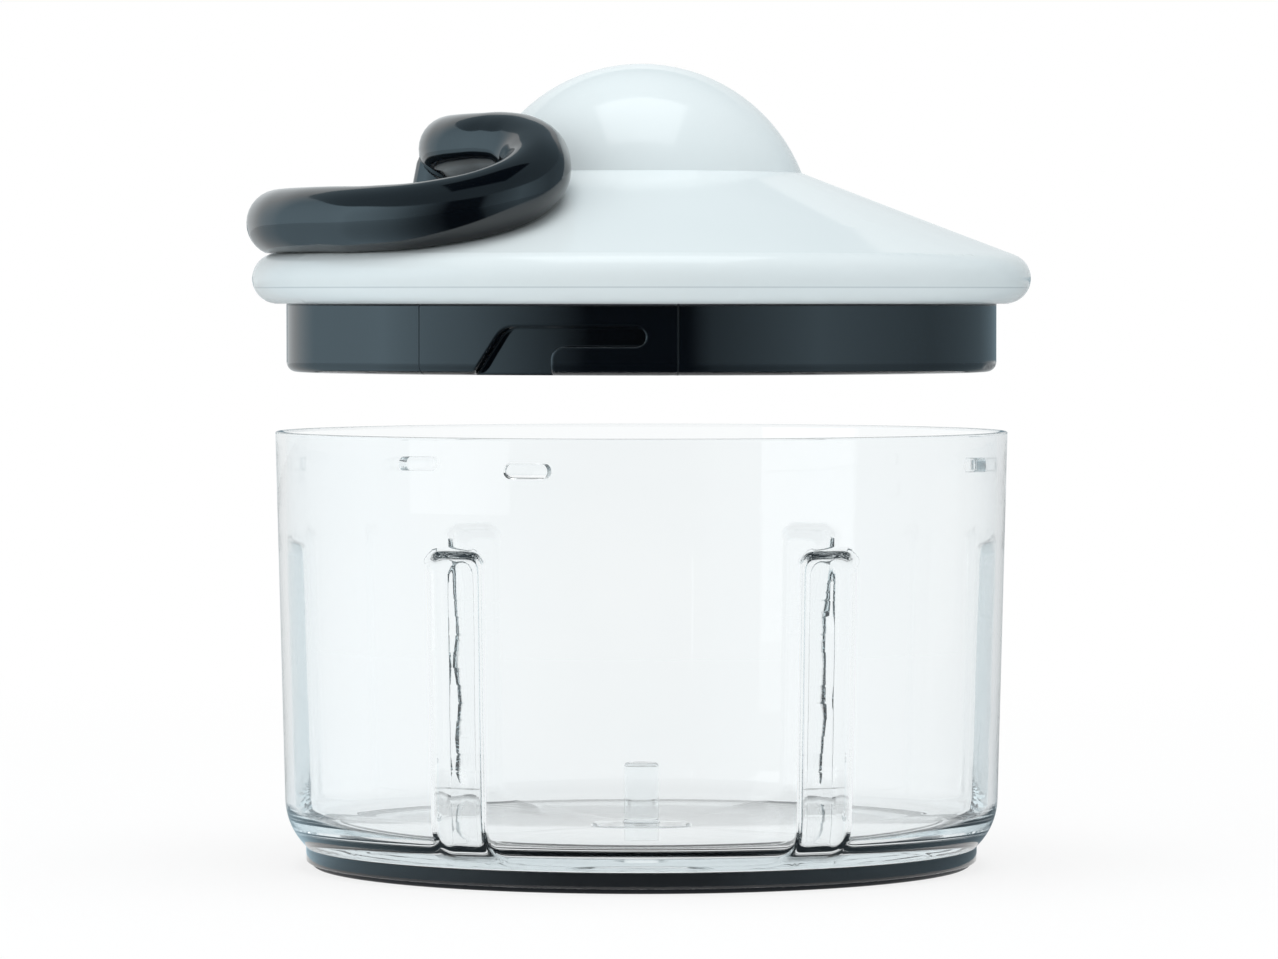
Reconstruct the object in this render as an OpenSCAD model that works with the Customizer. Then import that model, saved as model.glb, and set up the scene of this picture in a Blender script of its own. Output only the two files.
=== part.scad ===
// Pull cord food chopper: a clear bowl and a domed lid that holds the recoil drive.
// Millimetres, +Z up, +Y away from the viewer, origin on the table under the bowl's middle.
// The lid is drawn lifted off the bowl, in line with the slots that it is lowered into.

/* [Bowl] */
// Height of the rim above the table
bowl_h = 79.4; // [60:0.1:110]
// Outside radius at the rim
bowl_rim_r = 66.9; // [66.5:0.1:70]
// Outside radius where the wall turns into the base
bowl_low_r = 65.2; // [64:0.1:66.5]
// Inside radius of the straight mouth that takes the lid
bowl_mouth_r = 65.2; // [64.5:0.05:65.4]
// Depth of the straight mouth
mouth_depth = 13.4; // [13:0.1:18]
// Wall thickness at the foot of the wall
bowl_wall = 1.7; // [1.2:0.1:2.5]
// Outside radius of the bend between wall and base
base_bend_r = 12; // [8:0.5:14]
// Height of the inside floor above the table
floor_z = 7; // [6.2:0.1:10]
// Thickness of the floor
floor_t = 2; // [1.4:0.1:3]
// Radius between floor and wall inside
floor_fillet_r = 5; // [2:0.5:7]
// Outside radius of the lip round the base
base_lip_r = 61.4; // [61:0.1:62.5]
// Height of that lip above the table
base_lip_z = 0.9; // [0.5:0.1:2]

/* [Foot ring] */
// Inside radius of the soft foot ring
foot_in_r = 57.2; // [54:0.1:58.5]
// Outside radius of the soft foot ring
foot_out_r = 60.3; // [59.5:0.1:60.6]
// Height of the soft foot ring
foot_h = 4; // [2.5:0.1:5]
// Thickness of the wall inside the foot ring
foot_wall = 2; // [1.2:0.1:3]

/* [Stirring ribs] */
// Number of ribs inside the bowl
rib_count = 6; // [4:1:8]
// Width of a rib
rib_w = 10.5; // [6:0.5:14]
// Height of the ribs' tops above the table
rib_top_z = 59; // [40:0.5:62]
// Radius of a rib's face at the floor
rib_low_r = 60.2; // [57:0.1:61]
// Radius of a rib's face at its top
rib_high_r = 61.3; // [60:0.1:62.5]

/* [Blade pin] */
// Radius of the pin that a blade turns on
pin_r = 3.2; // [2.5:0.1:4]
// Height of the pin above its seat
pin_h = 11; // [8:0.5:20]
// Bevel at the pin's top
pin_bevel = 0.6; // [0.2:0.1:1]
// Radius of the raised seat round the pin
pin_seat_r = 9; // [6:0.5:12]
// Height of the raised seat
pin_seat_h = 0.5; // [0.3:0.1:1.5]

/* [Bayonet] */
// Number of lugs and slots
lug_count = 3; // [2:1:4]
// Angle of the first lug from the front
lug_angle = -17.9; // [-30:0.1:0]
// Length of a lug along the wall
lug_w = 8; // [5:0.5:9]
// Height of a lug
lug_h = 2.7; // [2:0.1:3.5]
// Depth of a lug's middle under the rim
lug_drop = 5.7; // [5:0.1:7]
// How far a lug stands in from the mouth's wall
lug_reach = 2.6; // [1.5:0.1:3]
// Angle that the lid turns to lock
lock_turn = 14.5; // [8:0.5:18]
// Gap round a lug in its slot
slot_play = 0.4; // [0.3:0.05:0.8]
// How far the entry's left side slants out
ramp_run = 6.7; // [2:0.1:8]
// Rounding of the bend from the slant into the slot
bend_round = 4; // [1:0.5:5]
// Rounding of the slot's lower lip
lip_round = 2.2; // [1:0.1:3]

/* [Lid cover] */
// Height that the lid hangs above the bowl's rim
lid_gap = 23.3; // [15:0.1:60]
// Outside radius of the cover's round edge
rim_r = 71.1; // [70.6:0.1:75]
// Radius of that edge's round
rim_round_r = 4.6; // [4:0.1:5.5]
// Slope of the cone above the edge
cone_angle = 21; // [20:0.5:23]
// Radius of the dome
dome_r = 31.5; // [31:0.1:33]
// Height of the dome's middle above the cover's underside
dome_mid = 12.3; // [12:0.1:14]
// Thickness of the cover
cover_t = 2.2; // [1.6:0.1:2.6]
// Radius of the hollow that the lid base plugs into
hollow_r = 63; // [62:0.1:63.5]

/* [Lid base] */
// Outside radius of the skirt
skirt_r = 64.85; // [64.3:0.05:64.9]
// Depth of the skirt under the cover
skirt_h = 12.4; // [11.5:0.1:13]
// Thickness of the skirt
skirt_t = 4.4; // [3.8:0.1:5]
// Radius of the skirt's lower edge
skirt_round_r = 1.8; // [0.5:0.1:2.2]
// Thickness of the plate that closes the lid
plate_t = 2.4; // [1.8:0.1:3.5]
// Height of the spigot inside the cover
spigot_h = 3; // [2:0.1:4]
// Gap round the spigot
spigot_play = 0.1; // [0.05:0.05:0.3]

/* [Lid seal] */
// Inside radius of the seal ring
seal_in_r = 65.3; // [65.2:0.1:65.7]
// Outside radius of the seal ring
seal_out_r = 67.1; // [66.5:0.1:68]
// Thickness of the seal ring
seal_t = 1.5; // [1:0.1:2]
// Gap round the seal ring in its groove
seal_play = 0.1; // [0.05:0.05:0.3]

/* [Screws] */
// Number of screws that hold the lid base
screw_count = 4; // [3:1:6]
// Radius of the circle of screws
screw_ring_r = 54; // [48:0.5:55]
// Radius of a screw's shank
screw_r = 1.4; // [1:0.1:2]
// Length of a screw under its head
screw_len = 9; // [6:0.5:9.5]
// Radius of a screw's head
screw_head_r = 3; // [2.2:0.1:3.5]
// Height of a screw's head
screw_head_h = 1.8; // [1.2:0.1:2.4]
// Length of an arm of the cross in a screw's head
screw_cross_len = 1.7; // [1:0.1:2]
// Width of that cross
screw_cross_w = 0.8; // [0.5:0.1:1]
// Depth of that cross
screw_cross_depth = 1; // [0.6:0.1:1]
// Radius of a screw boss inside the cover
boss_r = 4; // [3:0.1:5]
// Gap round a shank where it passes the plate
screw_play = 0.2; // [0.1:0.05:0.5]

/* [Handle] */
// Radius of the handle's round bar
bar_r = 6.1; // [5:0.1:6.5]
// Height of the outer bar's middle above the cover's underside
bar_out_z = 14.7; // [14:0.1:18]
// How far the outer bar stands past the cover's edge
bar_overhang = 1; // [0:0.1:6]
// Half the angle that the straight run of the bars spans
bar_half_angle = 45; // [30:1:50]
// Further angle that the rounded ends of the loop take
bar_end_angle = 22; // [14:1:26]
// Gap between the parked handle and the lid
handle_gap = 0.5; // [0.4:0.05:1.5]
// Radius at the foot of the flared neck
neck_low_r = 7.8; // [6.5:0.1:9]
// Radius at the top of the flared neck
neck_top_r = 6; // [5:0.1:6]

/* [Pull cord] */
// Height of the cord's way out above the cover's underside
cord_level = 28.2; // [27.5:0.1:28.5]
// Radius of the cord
cord_r = 0.8; // [0.5:0.05:0.9]
// Turns of cord on the drum
cord_turns = 4; // [2:1:4]
// Step from one turn to the next
cord_pitch = 2.05; // [2:0.05:2.1]
// Gap round the cord where it passes a bore
cord_play = 0.3; // [0.2:0.05:0.5]
// Radius of the knot that holds the cord in the handle
knot_r = 2.2; // [1.6:0.1:2.5]
// Outside radius of the eyelet in the dome
eyelet_r = 3; // [2.4:0.1:3.5]

/* [Reel] */
// Radius of the axle
axle_r = 2.5; // [2:0.1:2.8]
// Radial running clearance on the axle and in the bush
run_clear = 0.05; // [0.02:0.01:0.1]
// Axial gap between pieces that turn past each other
run_gap = 0.3; // [0.25:0.05:0.4]
// Radius of the drum that the cord winds on
drum_r = 9; // [8:0.1:9]
// Radius of the reel's flanges
flange_r = 21; // [20.5:0.1:21.2]
// Thickness of the reel's flanges
flange_t = 1.4; // [1:0.1:1.5]
// Width of the groove between the flanges
groove_w = 2.8; // [2.4:0.1:2.9]
// Radius of the hub under the drum
hub_r = 5; // [4:0.1:5.5]

/* [Recoil spring] */
// Outside radius of the cup that holds the spring
cup_r = 15.2; // [14:0.1:15.4]
// Wall of that cup
cup_wall = 1.2; // [0.8:0.1:1.4]
// Depth of that cup
cup_h = 5; // [4:0.1:5.2]
// Radius of the fixed post in the spring's middle
post_r = 4.2; // [3.6:0.1:5]
// Thickness of the spring strip
strip_t = 0.4; // [0.3:0.05:0.5]
// Turns of the spring strip
strip_turns = 6; // [4:1:7]

/* [Clutch] */
// Number of teeth in the ratchet cup
tooth_count = 12; // [8:2:16]
// Radius of the ratchet teeth's tips
tooth_tip_r = 14.6; // [14:0.1:15]
// Depth of the ratchet teeth
tooth_depth = 2.2; // [1.8:0.1:2.4]
// Angle that a tooth's face leans back, so that a pawl can swing in past it
tooth_lean = 8; // [7:0.5:12]
// Wall of the ratchet cup behind the teeth
ratchet_wall = 1.8; // [1.2:0.1:2.5]
// Thickness of a pawl
pawl_t = 3.1; // [2:0.1:3.3]
// Radius of the circle that the pawls pivot on
pawl_ring_r = 9.5; // [9:0.1:10]
// Radius of a pawl's pivot pin
pawl_pin_r = 1; // [0.8:0.05:1.2]
// Radius of the eye round a pawl's pivot
pawl_eye_r = 2.2; // [1.8:0.1:2.4]
// Angle from a pawl's tip back to its pivot
pawl_lead = 45; // [38:1:50]
// Thickness of the clip on the axle
clip_t = 1; // [0.6:0.1:1.2]
// Depth of the clip's groove in the axle
clip_bite = 0.5; // [0.3:0.1:0.8]
// Radius of the clip
clip_r = 4.8; // [4:0.1:6]

/* [Drive] */
// Radius of the drive socket's shaft
drive_r = 8; // [7:0.1:8.5]
// Depth of the drive socket's end under the cover's underside
drive_drop = 9.5; // [6:0.5:11]
// Width across the flats of the blade's hexagon
hex_flats = 9; // [6:0.1:10]
// Depth of the hexagon
hex_depth = 11; // [8:0.5:13]
// Radius of the collar that rests on the bush
collar_r = 10.5; // [9.5:0.1:12]
// Thickness of that collar
collar_t = 2; // [1.5:0.1:3]
// Wall of the bush
bush_wall = 2; // [1.5:0.1:2.5]
// Height of the bush's top above the cover's underside
bush_top = 8; // [5:0.5:9]
// Depth of the bush's end under the cover's underside
bush_drop = 3.5; // [2:0.1:5]
// Wall of the hub round the bush
hub_wall = 2.5; // [1.5:0.1:3.5]
// Radius of the stub that joins the ratchet cup to the socket
stub_r = 5; // [4.4:0.1:5.6]
// Thickness of the ratchet cup's floor
ratchet_floor_t = 1.6; // [1.2:0.1:2]

/* [Hidden] */
$fn = 96;

// A cut runs this far past the face that it opens
past = 1;

// Heights inside the bowl
bend_sink = 0.4;
bend_z = base_lip_z + base_bend_r - bend_sink;
bowl_in_r = bowl_low_r - bowl_wall;
pin_seat_z = floor_z + pin_seat_h;

// Place of the lid, and the slope of its outside
lid_z = bowl_h + lid_gap;
rim_mid_r = rim_r - rim_round_r;
edge_r = rim_mid_r + rim_round_r * sin(cone_angle);
edge_z = rim_round_r * (1 + cos(cone_angle));
cone_skin = cover_t / cos(cone_angle);
function cone_at(r) = edge_z + (edge_r - r) * tan(cone_angle);
function dome_at(z) = sqrt(pow(dome_r, 2) - pow(z - dome_mid, 2));
function dome_in_at(z) = sqrt(pow(dome_r - cover_t, 2) - pow(z - dome_mid, 2));

// Lid base and screws
skirt_in_r = skirt_r - skirt_t;
plate_top = plate_t / 2;
plate_low = -plate_t / 2;
lug_tip_r = bowl_mouth_r - lug_reach;
slot_floor_r = lug_tip_r - slot_play;
slot_half = lug_w / 2 + slot_play;
slot_top = -lug_drop + lug_h / 2 + slot_play;
slot_low = -lug_drop - lug_h / 2 - slot_play;
slot_round = (slot_top - slot_low) / 2;
slot_end = skirt_r * sin(lock_turn) + slot_half;

// Levels of the reel and the clutch, measured from the cover's underside
groove_top = cord_level + groove_w / 2;
groove_low = cord_level - groove_w / 2;
cup_floor = groove_top + flange_t;
cup_top = cup_floor + cup_h;
flange_low = groove_low - flange_t;
pawl_top = flange_low - run_gap;
pawl_low = pawl_top - pawl_t;
hub_low = pawl_low - run_gap;
clip_top = hub_low - run_gap;
clip_low = clip_top - clip_t;
ratchet_floor = clip_low - run_gap;
ratchet_low = ratchet_floor - ratchet_floor_t;
ratchet_top = flange_low - run_gap;
bore_r = axle_r + run_clear;
post_low = cup_floor + run_gap;
axle_top = dome_mid + dome_r - cover_t;
collar_low = bush_top + run_gap;
collar_top = collar_low + collar_t;
stub_low = collar_low - past;
stub_floor_t = 2.5;
axle_end_gap = 0.5;
axle_low = stub_low + stub_floor_t + axle_end_gap;
tooth_root_r = tooth_tip_r + tooth_depth;
bush_r = drive_r + run_clear + bush_wall;

// Pull cord: the way from the drum to the handle, in plan, with the lid's axis at zero
lead_route = [[-17.6, -9.9], [-19.3, -6.9], [-20.8, -4.2], [-21.9, -2.3], [-23, -0.8], [-24.2, -0.1],
              [-25.6, 0], [-27.3, 0]];
lead_angle = atan2(-lead_route[0][1], -lead_route[0][0]);
coil_gap = 0.25;
coil_in_r = drum_r + cord_r + coil_gap;
coil_out_r = coil_in_r + cord_turns * cord_pitch;
coil_steps = 24;
coil_sides = 6;
lead_sides = 8;

// Handle: the loop's two bars, and the heights between them
bar_in_z = cord_level;
bar_in_r = sqrt(pow(dome_r + handle_gap + bar_r, 2) - pow(bar_in_z - dome_mid, 2));
bar_out_r = rim_r + bar_overhang - bar_r;
bar_slope = (bar_in_z - bar_out_z) / (bar_out_r - bar_in_r);
bar_mid_r = (bar_out_r + bar_in_r) / 2;
bar_half_r = (bar_out_r - bar_in_r) / 2;
run_steps = 14;
end_steps = 12;
bar_sides = 24;
eyelet_stand = 0.35;
eyelet_out = dome_at(cord_level) + eyelet_stand;
eyelet_in = dome_in_at(cord_level) - eyelet_stand;
tail_start = eyelet_out + handle_gap;
neck_face = bar_in_r + neck_low_r + past;
plug_t = 1.6;
plug_inset = 0.6;
plug_face = bar_in_r + bar_r - plug_inset;
pocket_r = knot_r + cord_play;
pocket_start = plug_face - plug_t - cord_play - 2 * knot_r;

function unit(v) = v / norm(v);
function polar(r, a) = [r * cos(a), r * sin(a)];

// Rings of points round a path, with the second axis of each ring held upright
function ring(p, along, r, sides) =
    let (side = unit(cross(along, [0, 0, 1])), up = cross(side, along))
    [for (k = [0 : sides - 1])
        p + r * (cos(360 * k / sides) * side + sin(360 * k / sides) * up)];
function along(path, i, closed) =
    let (n = len(path),
         a = closed ? path[(i + n - 1) % n] : path[max(i - 1, 0)],
         b = closed ? path[(i + 1) % n] : path[min(i + 1, n - 1)])
    unit(b - a);
function tube_points(path, r, sides, closed) =
    [for (i = [0 : len(path) - 1]) each ring(path[i], along(path, i, closed), r, sides)];
function tube_walls(rings, sides, closed) =
    [for (i = [0 : closed ? rings - 1 : rings - 2], k = [0 : sides - 1])
        let (a = i * sides, b = ((i + 1) % rings) * sides, m = (k + 1) % sides)
        each [[a + k, b + m, b + k], [a + k, a + m, b + m]]];
function fan(first, sides, flip) =
    [for (k = [1 : sides - 2]) flip ? [first, first + k + 1, first + k] : [first, first + k, first + k + 1]];

module open_tube(path, r, sides) {
    last = (len(path) - 1) * sides;
    polyhedron(points = tube_points(path, r, sides, false),
               faces = concat(tube_walls(len(path), sides, false),
                              fan(0, sides, true), fan(last, sides, false)));
}

// Places things in the lid's own frame, whose zero is the cover's underside
module in_lid() {
    translate([0, 0, lid_z]) children();
}

// Repeats things evenly round the axis, from a first angle
module round_axis(count, first = 0) {
    for (k = [0 : count - 1]) rotate([0, 0, first + 360 * k / count]) children();
}

// A ring between two radii and two heights
module band(in_r, out_r, low, top) {
    rotate_extrude() translate([in_r, low]) square([out_r - in_r, top - low]);
}

// A round bar along -X at the cord's level, from one distance to another
module cord_bar(r, from, to) {
    translate([-to, 0, cord_level]) rotate([0, 90, 0]) cylinder(r = r, h = to - from);
}

module bowl_section() {
    difference() {
        union() {
            polygon([[0, bend_z], [bowl_low_r, bend_z], [bowl_rim_r, bowl_h], [0, bowl_h]]);
            translate([bowl_low_r - base_bend_r, bend_z]) circle(base_bend_r);
            translate([0, base_lip_z]) square([base_lip_r, bend_z - base_lip_z]);
        }
        polygon([[0, floor_z + floor_fillet_r], [bowl_in_r, floor_z + floor_fillet_r],
                 [bowl_mouth_r, bowl_h - mouth_depth], [bowl_mouth_r, bowl_h + past], [0, bowl_h + past]]);
        translate([bowl_in_r - floor_fillet_r, floor_z + floor_fillet_r]) circle(floor_fillet_r);
        translate([0, floor_z]) square([bowl_in_r - floor_fillet_r, floor_fillet_r + past]);
        square([foot_in_r - foot_wall, floor_z - floor_t]);
        translate([foot_in_r, 0]) square([foot_out_r - foot_in_r, foot_h]);
        translate([0, base_lip_z - base_bend_r]) square([bowl_low_r, base_bend_r]);
    }
}

module rib() {
    root = (rib_top_z - bend_z) * (bowl_rim_r - bowl_low_r) / (bowl_h - bend_z);
    skin = bowl_wall / 2;
    sunk = floor_t / 4;
    rotate([90, 0, 0]) translate([0, 0, -rib_w / 2]) linear_extrude(rib_w)
        polygon([[rib_low_r, floor_z - sunk], [bowl_in_r - skin, floor_z - sunk],
                 [bowl_low_r - skin, bend_z], [bowl_low_r + root - skin, rib_top_z],
                 [rib_high_r, rib_top_z]]);
}

module lug() {
    end = (lug_w - lug_h) / 2;
    depth = (bowl_rim_r + bowl_mouth_r) / 2 - lug_tip_r;
    translate([0, -lug_tip_r, bowl_h - lug_drop]) rotate([90, 0, 0]) linear_extrude(depth) {
        square([2 * end, lug_h], center = true);
        for (side = [-end, end]) translate([side, 0]) circle(lug_h / 2);
    }
}

module bowl() color([0.86, 0.91, 0.93, 0.35]) {
    rotate_extrude() bowl_section();
    round_axis(rib_count) rib();
    round_axis(lug_count, lug_angle) lug();
    translate([0, 0, floor_z - floor_t / 2]) cylinder(r = pin_seat_r, h = floor_t / 2 + pin_seat_h);
    translate([0, 0, floor_z]) cylinder(r = pin_r, h = pin_seat_h + pin_h - pin_bevel);
    translate([0, 0, pin_seat_z + pin_h - pin_bevel])
        cylinder(r1 = pin_r, r2 = pin_r - pin_bevel, h = pin_bevel);
}

module foot_ring() color([0.16, 0.18, 0.2]) {
    band(foot_in_r, foot_out_r, 0, foot_h);
}

module lid_seal() color([0.75, 0.76, 0.77]) {
    in_lid() band(seal_in_r, seal_out_r, 0, seal_t);
}

// Section of the lid's outside, grown by a gap where something has to clear it
module cover_outside(gap = 0) {
    lift = gap / cos(cone_angle);
    intersection() {
        union() {
            translate([0, dome_mid]) circle(dome_r + gap);
            translate([rim_mid_r, rim_round_r]) circle(rim_round_r + gap);
            polygon([[0, -gap], [rim_mid_r, -gap],
                     [edge_r + gap * sin(cone_angle), edge_z + gap * cos(cone_angle)],
                     [0, cone_at(0) + lift]]);
        }
        translate([0, -gap]) square([rim_r + gap, dome_mid + dome_r + 2 * gap]);
    }
}

module cover_section() {
    difference() {
        cover_outside();
        intersection() {
            union() {
                translate([0, dome_mid]) circle(dome_r - cover_t);
                polygon([[0, -past], [hollow_r, -past], [hollow_r, cone_at(hollow_r) - cone_skin],
                         [0, cone_at(0) - cone_skin]]);
            }
            translate([0, -past]) square([hollow_r, dome_mid + dome_r]);
        }
        translate([seal_in_r - seal_play, -past])
            square([seal_out_r - seal_in_r + 2 * seal_play, past + seal_t + seal_play]);
    }
}

module lid_cover() color([0.93, 0.95, 0.96]) in_lid() difference() {
    union() {
        rotate_extrude() cover_section();
        intersection() {
            union() {
                round_axis(screw_count, 180 / screw_count) translate([screw_ring_r, 0, plate_top])
                    cylinder(r = boss_r, h = edge_z * 2);
                translate([0, 0, post_low]) cylinder(r = post_r, h = axle_top - post_low + cover_t / 2);
            }
            rotate_extrude() cover_outside();
        }
    }
    translate([0, 0, post_low - past]) cylinder(r = axle_r, h = axle_top - post_low + past - cover_t);
    round_axis(screw_count, 180 / screw_count) translate([screw_ring_r, 0, plate_top - past])
        cylinder(r = screw_r, h = past + screw_len - plate_t);
    cord_bar(eyelet_r, eyelet_in - past, eyelet_out + past);
}

// What stays in the corner where the slant bends into the slot's top, seen from that corner
module slot_bend() {
    slant = atan(ramp_run / (slot_top + skirt_h + past));
    run = bend_round / tan(45 + slant / 2);
    difference() {
        polygon([[-past, past], [run, past], [run, -bend_round], [-run * sin(slant), -run * cos(slant)],
                 [-run * sin(slant) - past, -run * cos(slant)]]);
        translate([run, -bend_round]) circle(bend_round);
    }
}

// One bayonet recess, drawn at the front with a lug's way in at zero
module slot_outline() {
    difference() {
        polygon([[slot_half, slot_top], [-slot_half, slot_top], [-slot_half - ramp_run, -skirt_h - past],
                 [slot_half, -skirt_h - past]]);
        translate([-slot_half, slot_top]) slot_bend();
    }
    translate([0, slot_low]) square([slot_end - slot_round, 2 * slot_round]);
    translate([slot_end - slot_round, slot_low + slot_round]) circle(slot_round);
    difference() {
        translate([slot_half, slot_low - lip_round]) square(lip_round);
        translate([slot_half + lip_round, slot_low - lip_round]) circle(lip_round);
    }
}

module lid_base() color([0.05, 0.06, 0.08]) in_lid() difference() {
    union() {
        rotate_extrude() {
            polygon([
                [skirt_in_r, -skirt_h], [skirt_r - skirt_round_r, -skirt_h],
                [skirt_r, -skirt_h + skirt_round_r], [skirt_r, 0], [hollow_r - spigot_play, 0],
                [hollow_r - spigot_play, spigot_h], [skirt_in_r, spigot_h]]);
            translate([skirt_r - skirt_round_r, -skirt_h + skirt_round_r]) circle(skirt_round_r);
        }
        band(bush_r, skirt_in_r + skirt_t / 4, plate_low, plate_top);
        band(bush_r, bush_r + hub_wall, -bush_drop, bush_top - run_gap);
    }
    round_axis(screw_count, 180 / screw_count) translate([screw_ring_r, 0, plate_low - past])
        cylinder(r = screw_r + screw_play, h = plate_t + 2 * past);
    round_axis(lug_count, lug_angle) intersection() {
        band(slot_floor_r, skirt_r + past, -skirt_h - past, 0);
        rotate([90, 0, 0]) linear_extrude(skirt_r + past) slot_outline();
    }
}

module lid_screws() color([0.7, 0.71, 0.72]) in_lid() {
    round_axis(screw_count, 180 / screw_count) translate([screw_ring_r, 0, plate_low]) {
        cylinder(r = screw_r, h = screw_len);
        translate([0, 0, -screw_head_h]) difference() {
            cylinder(r = screw_head_r, h = screw_head_h);
            for (turn = [0, 90]) rotate(turn)
                translate([-screw_cross_len, -screw_cross_w / 2, -past])
                    cube([2 * screw_cross_len, screw_cross_w, past + screw_cross_depth]);
        }
    }
}

module reel_axle() color([0.72, 0.73, 0.74]) in_lid() difference() {
    translate([0, 0, axle_low]) cylinder(r = axle_r, h = axle_top - cover_t - axle_low);
    band(axle_r - clip_bite, axle_r + past, clip_low, clip_top);
}

module axle_clip() color([0.45, 0.46, 0.48]) in_lid() {
    band(axle_r - clip_bite, clip_r, clip_low, clip_top);
}

module cord_eyelet() color([0.9, 0.9, 0.88]) in_lid() difference() {
    cord_bar(eyelet_r, eyelet_in, eyelet_out);
    cord_bar(cord_r + cord_play, eyelet_in - past, eyelet_out + past);
}

// The spring is a flat strip, wound from the post out to the wall of its cup
module recoil_spring() color([0.5, 0.53, 0.56]) in_lid() {
    steps = coil_steps * strip_turns;
    in_r = post_r + run_gap;
    out_r = cup_r - cup_wall - run_gap - strip_t;
    grow = (out_r - in_r) / steps;
    inner = [for (i = [0 : steps]) polar(in_r + grow * i, 360 * i / coil_steps)];
    outer = [for (i = [steps : -1 : 0]) polar(in_r + grow * i + strip_t, 360 * i / coil_steps)];
    translate([0, 0, post_low]) linear_extrude(cup_h - 2 * run_gap) polygon(concat(inner, outer));
}

module cord_lead() color([0.85, 0.85, 0.83]) in_lid() {
    open_tube([for (p = lead_route) [p[0], p[1], cord_level]], cord_r, lead_sides);
}

module reel_drum() color([0.88, 0.89, 0.9]) in_lid() {
    band(bore_r, flange_r, flange_low, groove_low);
    band(bore_r, drum_r, groove_low, groove_top);
    band(bore_r, hub_r, hub_low, flange_low);
    for (side = [0, 180]) rotate([0, 0, side + pawl_lead]) translate([pawl_ring_r, 0, pawl_low])
        cylinder(r = pawl_pin_r, h = flange_low - pawl_low);
}

module spring_cup() color([0.82, 0.83, 0.85]) in_lid() {
    band(bore_r, flange_r, groove_top, cup_floor);
    band(cup_r - cup_wall, cup_r, cup_floor, cup_top);
}

// The parked cord lies on the drum as one flat spiral
module cord_winding() color([0.85, 0.85, 0.83]) in_lid() {
    steps = coil_steps * cord_turns;
    first = 180 + lead_angle + 360 * cord_turns;
    path = [for (i = [0 : steps])
        let (p = polar(coil_in_r + cord_pitch * i / coil_steps, first - 360 * i / coil_steps))
        [p[0], p[1], cord_level]];
    gap = min([for (i = [0 : steps - coil_steps], j = [i + coil_steps / 2 : steps]) norm(path[i] - path[j])]);
    echo(winding_gap = gap - 2 * cord_r);
    open_tube(path, cord_r, coil_sides);
}

// Outline of a pawl whose tip stands against a ratchet tooth at angle zero
module pawl_outline() {
    back = asin(run_gap / tooth_tip_r);
    tip_r = tooth_root_r - 2 * run_gap;
    heel_r = tip_r - pawl_eye_r;
    union() {
        polygon([polar(tip_r, back), polar(pawl_ring_r + pawl_eye_r, pawl_lead),
                 polar(pawl_ring_r - pawl_eye_r, pawl_lead), polar(heel_r, back)]);
        translate(polar(pawl_ring_r, pawl_lead)) circle(pawl_eye_r);
    }
}

module pawl(side) color([0.95, 0.75, 0.3]) in_lid() rotate([0, 0, side]) difference() {
    translate([0, 0, pawl_low]) linear_extrude(pawl_t) pawl_outline();
    rotate([0, 0, pawl_lead]) translate([pawl_ring_r, 0, pawl_low - past])
        cylinder(r = pawl_pin_r + run_clear, h = pawl_t + 2 * past);
}

module pawl_front() {
    pawl(180);
}

module pawl_rear() {
    pawl(0);
}

module ratchet_cup() color([0.6, 0.64, 0.68]) in_lid() difference() {
    pitch = 360 / tooth_count;
    union() {
        translate([0, 0, ratchet_low])
            cylinder(r = tooth_root_r + ratchet_wall, h = ratchet_top - ratchet_low);
        translate([0, 0, stub_low]) cylinder(r = stub_r, h = ratchet_low - stub_low + past);
    }
    translate([0, 0, ratchet_floor]) linear_extrude(ratchet_top - ratchet_floor + past)
        polygon([for (i = [0 : tooth_count - 1])
            each [polar(tooth_tip_r, i * pitch - tooth_lean), polar(tooth_root_r, i * pitch)]]);
    translate([0, 0, axle_low - axle_end_gap]) cylinder(r = bore_r, h = ratchet_top - axle_low);
}

module drive_socket() color([0.1, 0.11, 0.13]) in_lid() difference() {
    union() {
        translate([0, 0, -drive_drop]) cylinder(r = drive_r, h = drive_drop + collar_low + collar_t / 2);
        translate([0, 0, collar_low]) cylinder(r = collar_r, h = collar_t);
    }
    translate([0, 0, stub_low]) cylinder(r = stub_r, h = collar_top - stub_low + past);
    translate([0, 0, -drive_drop - past])
        cylinder(r = hex_flats / sqrt(3), h = hex_depth + past, $fn = 6);
}

module drive_bush() color([0.9, 0.9, 0.86]) in_lid() {
    band(drive_r + run_clear, bush_r, -bush_drop, bush_top);
}

// Middle line of the handle: an outer bar along the cover's edge, an inner bar round the
// dome's foot, and a rounded end on each side that climbs the cone between them
function bar_point(r, a) = [-r * cos(a), -r * sin(a), bar_out_z + (bar_out_r - r) * bar_slope];
function bar_end(t, side) =
    bar_point(bar_mid_r + bar_half_r * cos(t), side * (bar_half_angle + bar_end_angle * sin(t)));
bar_path = concat(
    [for (i = [0 : run_steps]) bar_point(bar_out_r, bar_half_angle * (2 * i / run_steps - 1))],
    [for (i = [1 : end_steps - 1]) bar_end(180 * i / end_steps, 1)],
    [for (i = [0 : run_steps]) bar_point(bar_in_r, bar_half_angle * (1 - 2 * i / run_steps))],
    [for (i = [1 : end_steps - 1]) bar_end(180 - 180 * i / end_steps, -1)]);

// The bar's underside follows the lid, so its points are lifted clear of the cone and the edge
function lid_top(r) =
    r < edge_r ? cone_at(r) : rim_round_r + sqrt(max(0, pow(rim_round_r, 2) - pow(r - rim_mid_r, 2)));
function lifted(p) =
    let (r = norm([p[0], p[1]]))
    r > rim_r ? p : [p[0], p[1], max(p[2], lid_top(r) + handle_gap)];

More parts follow.
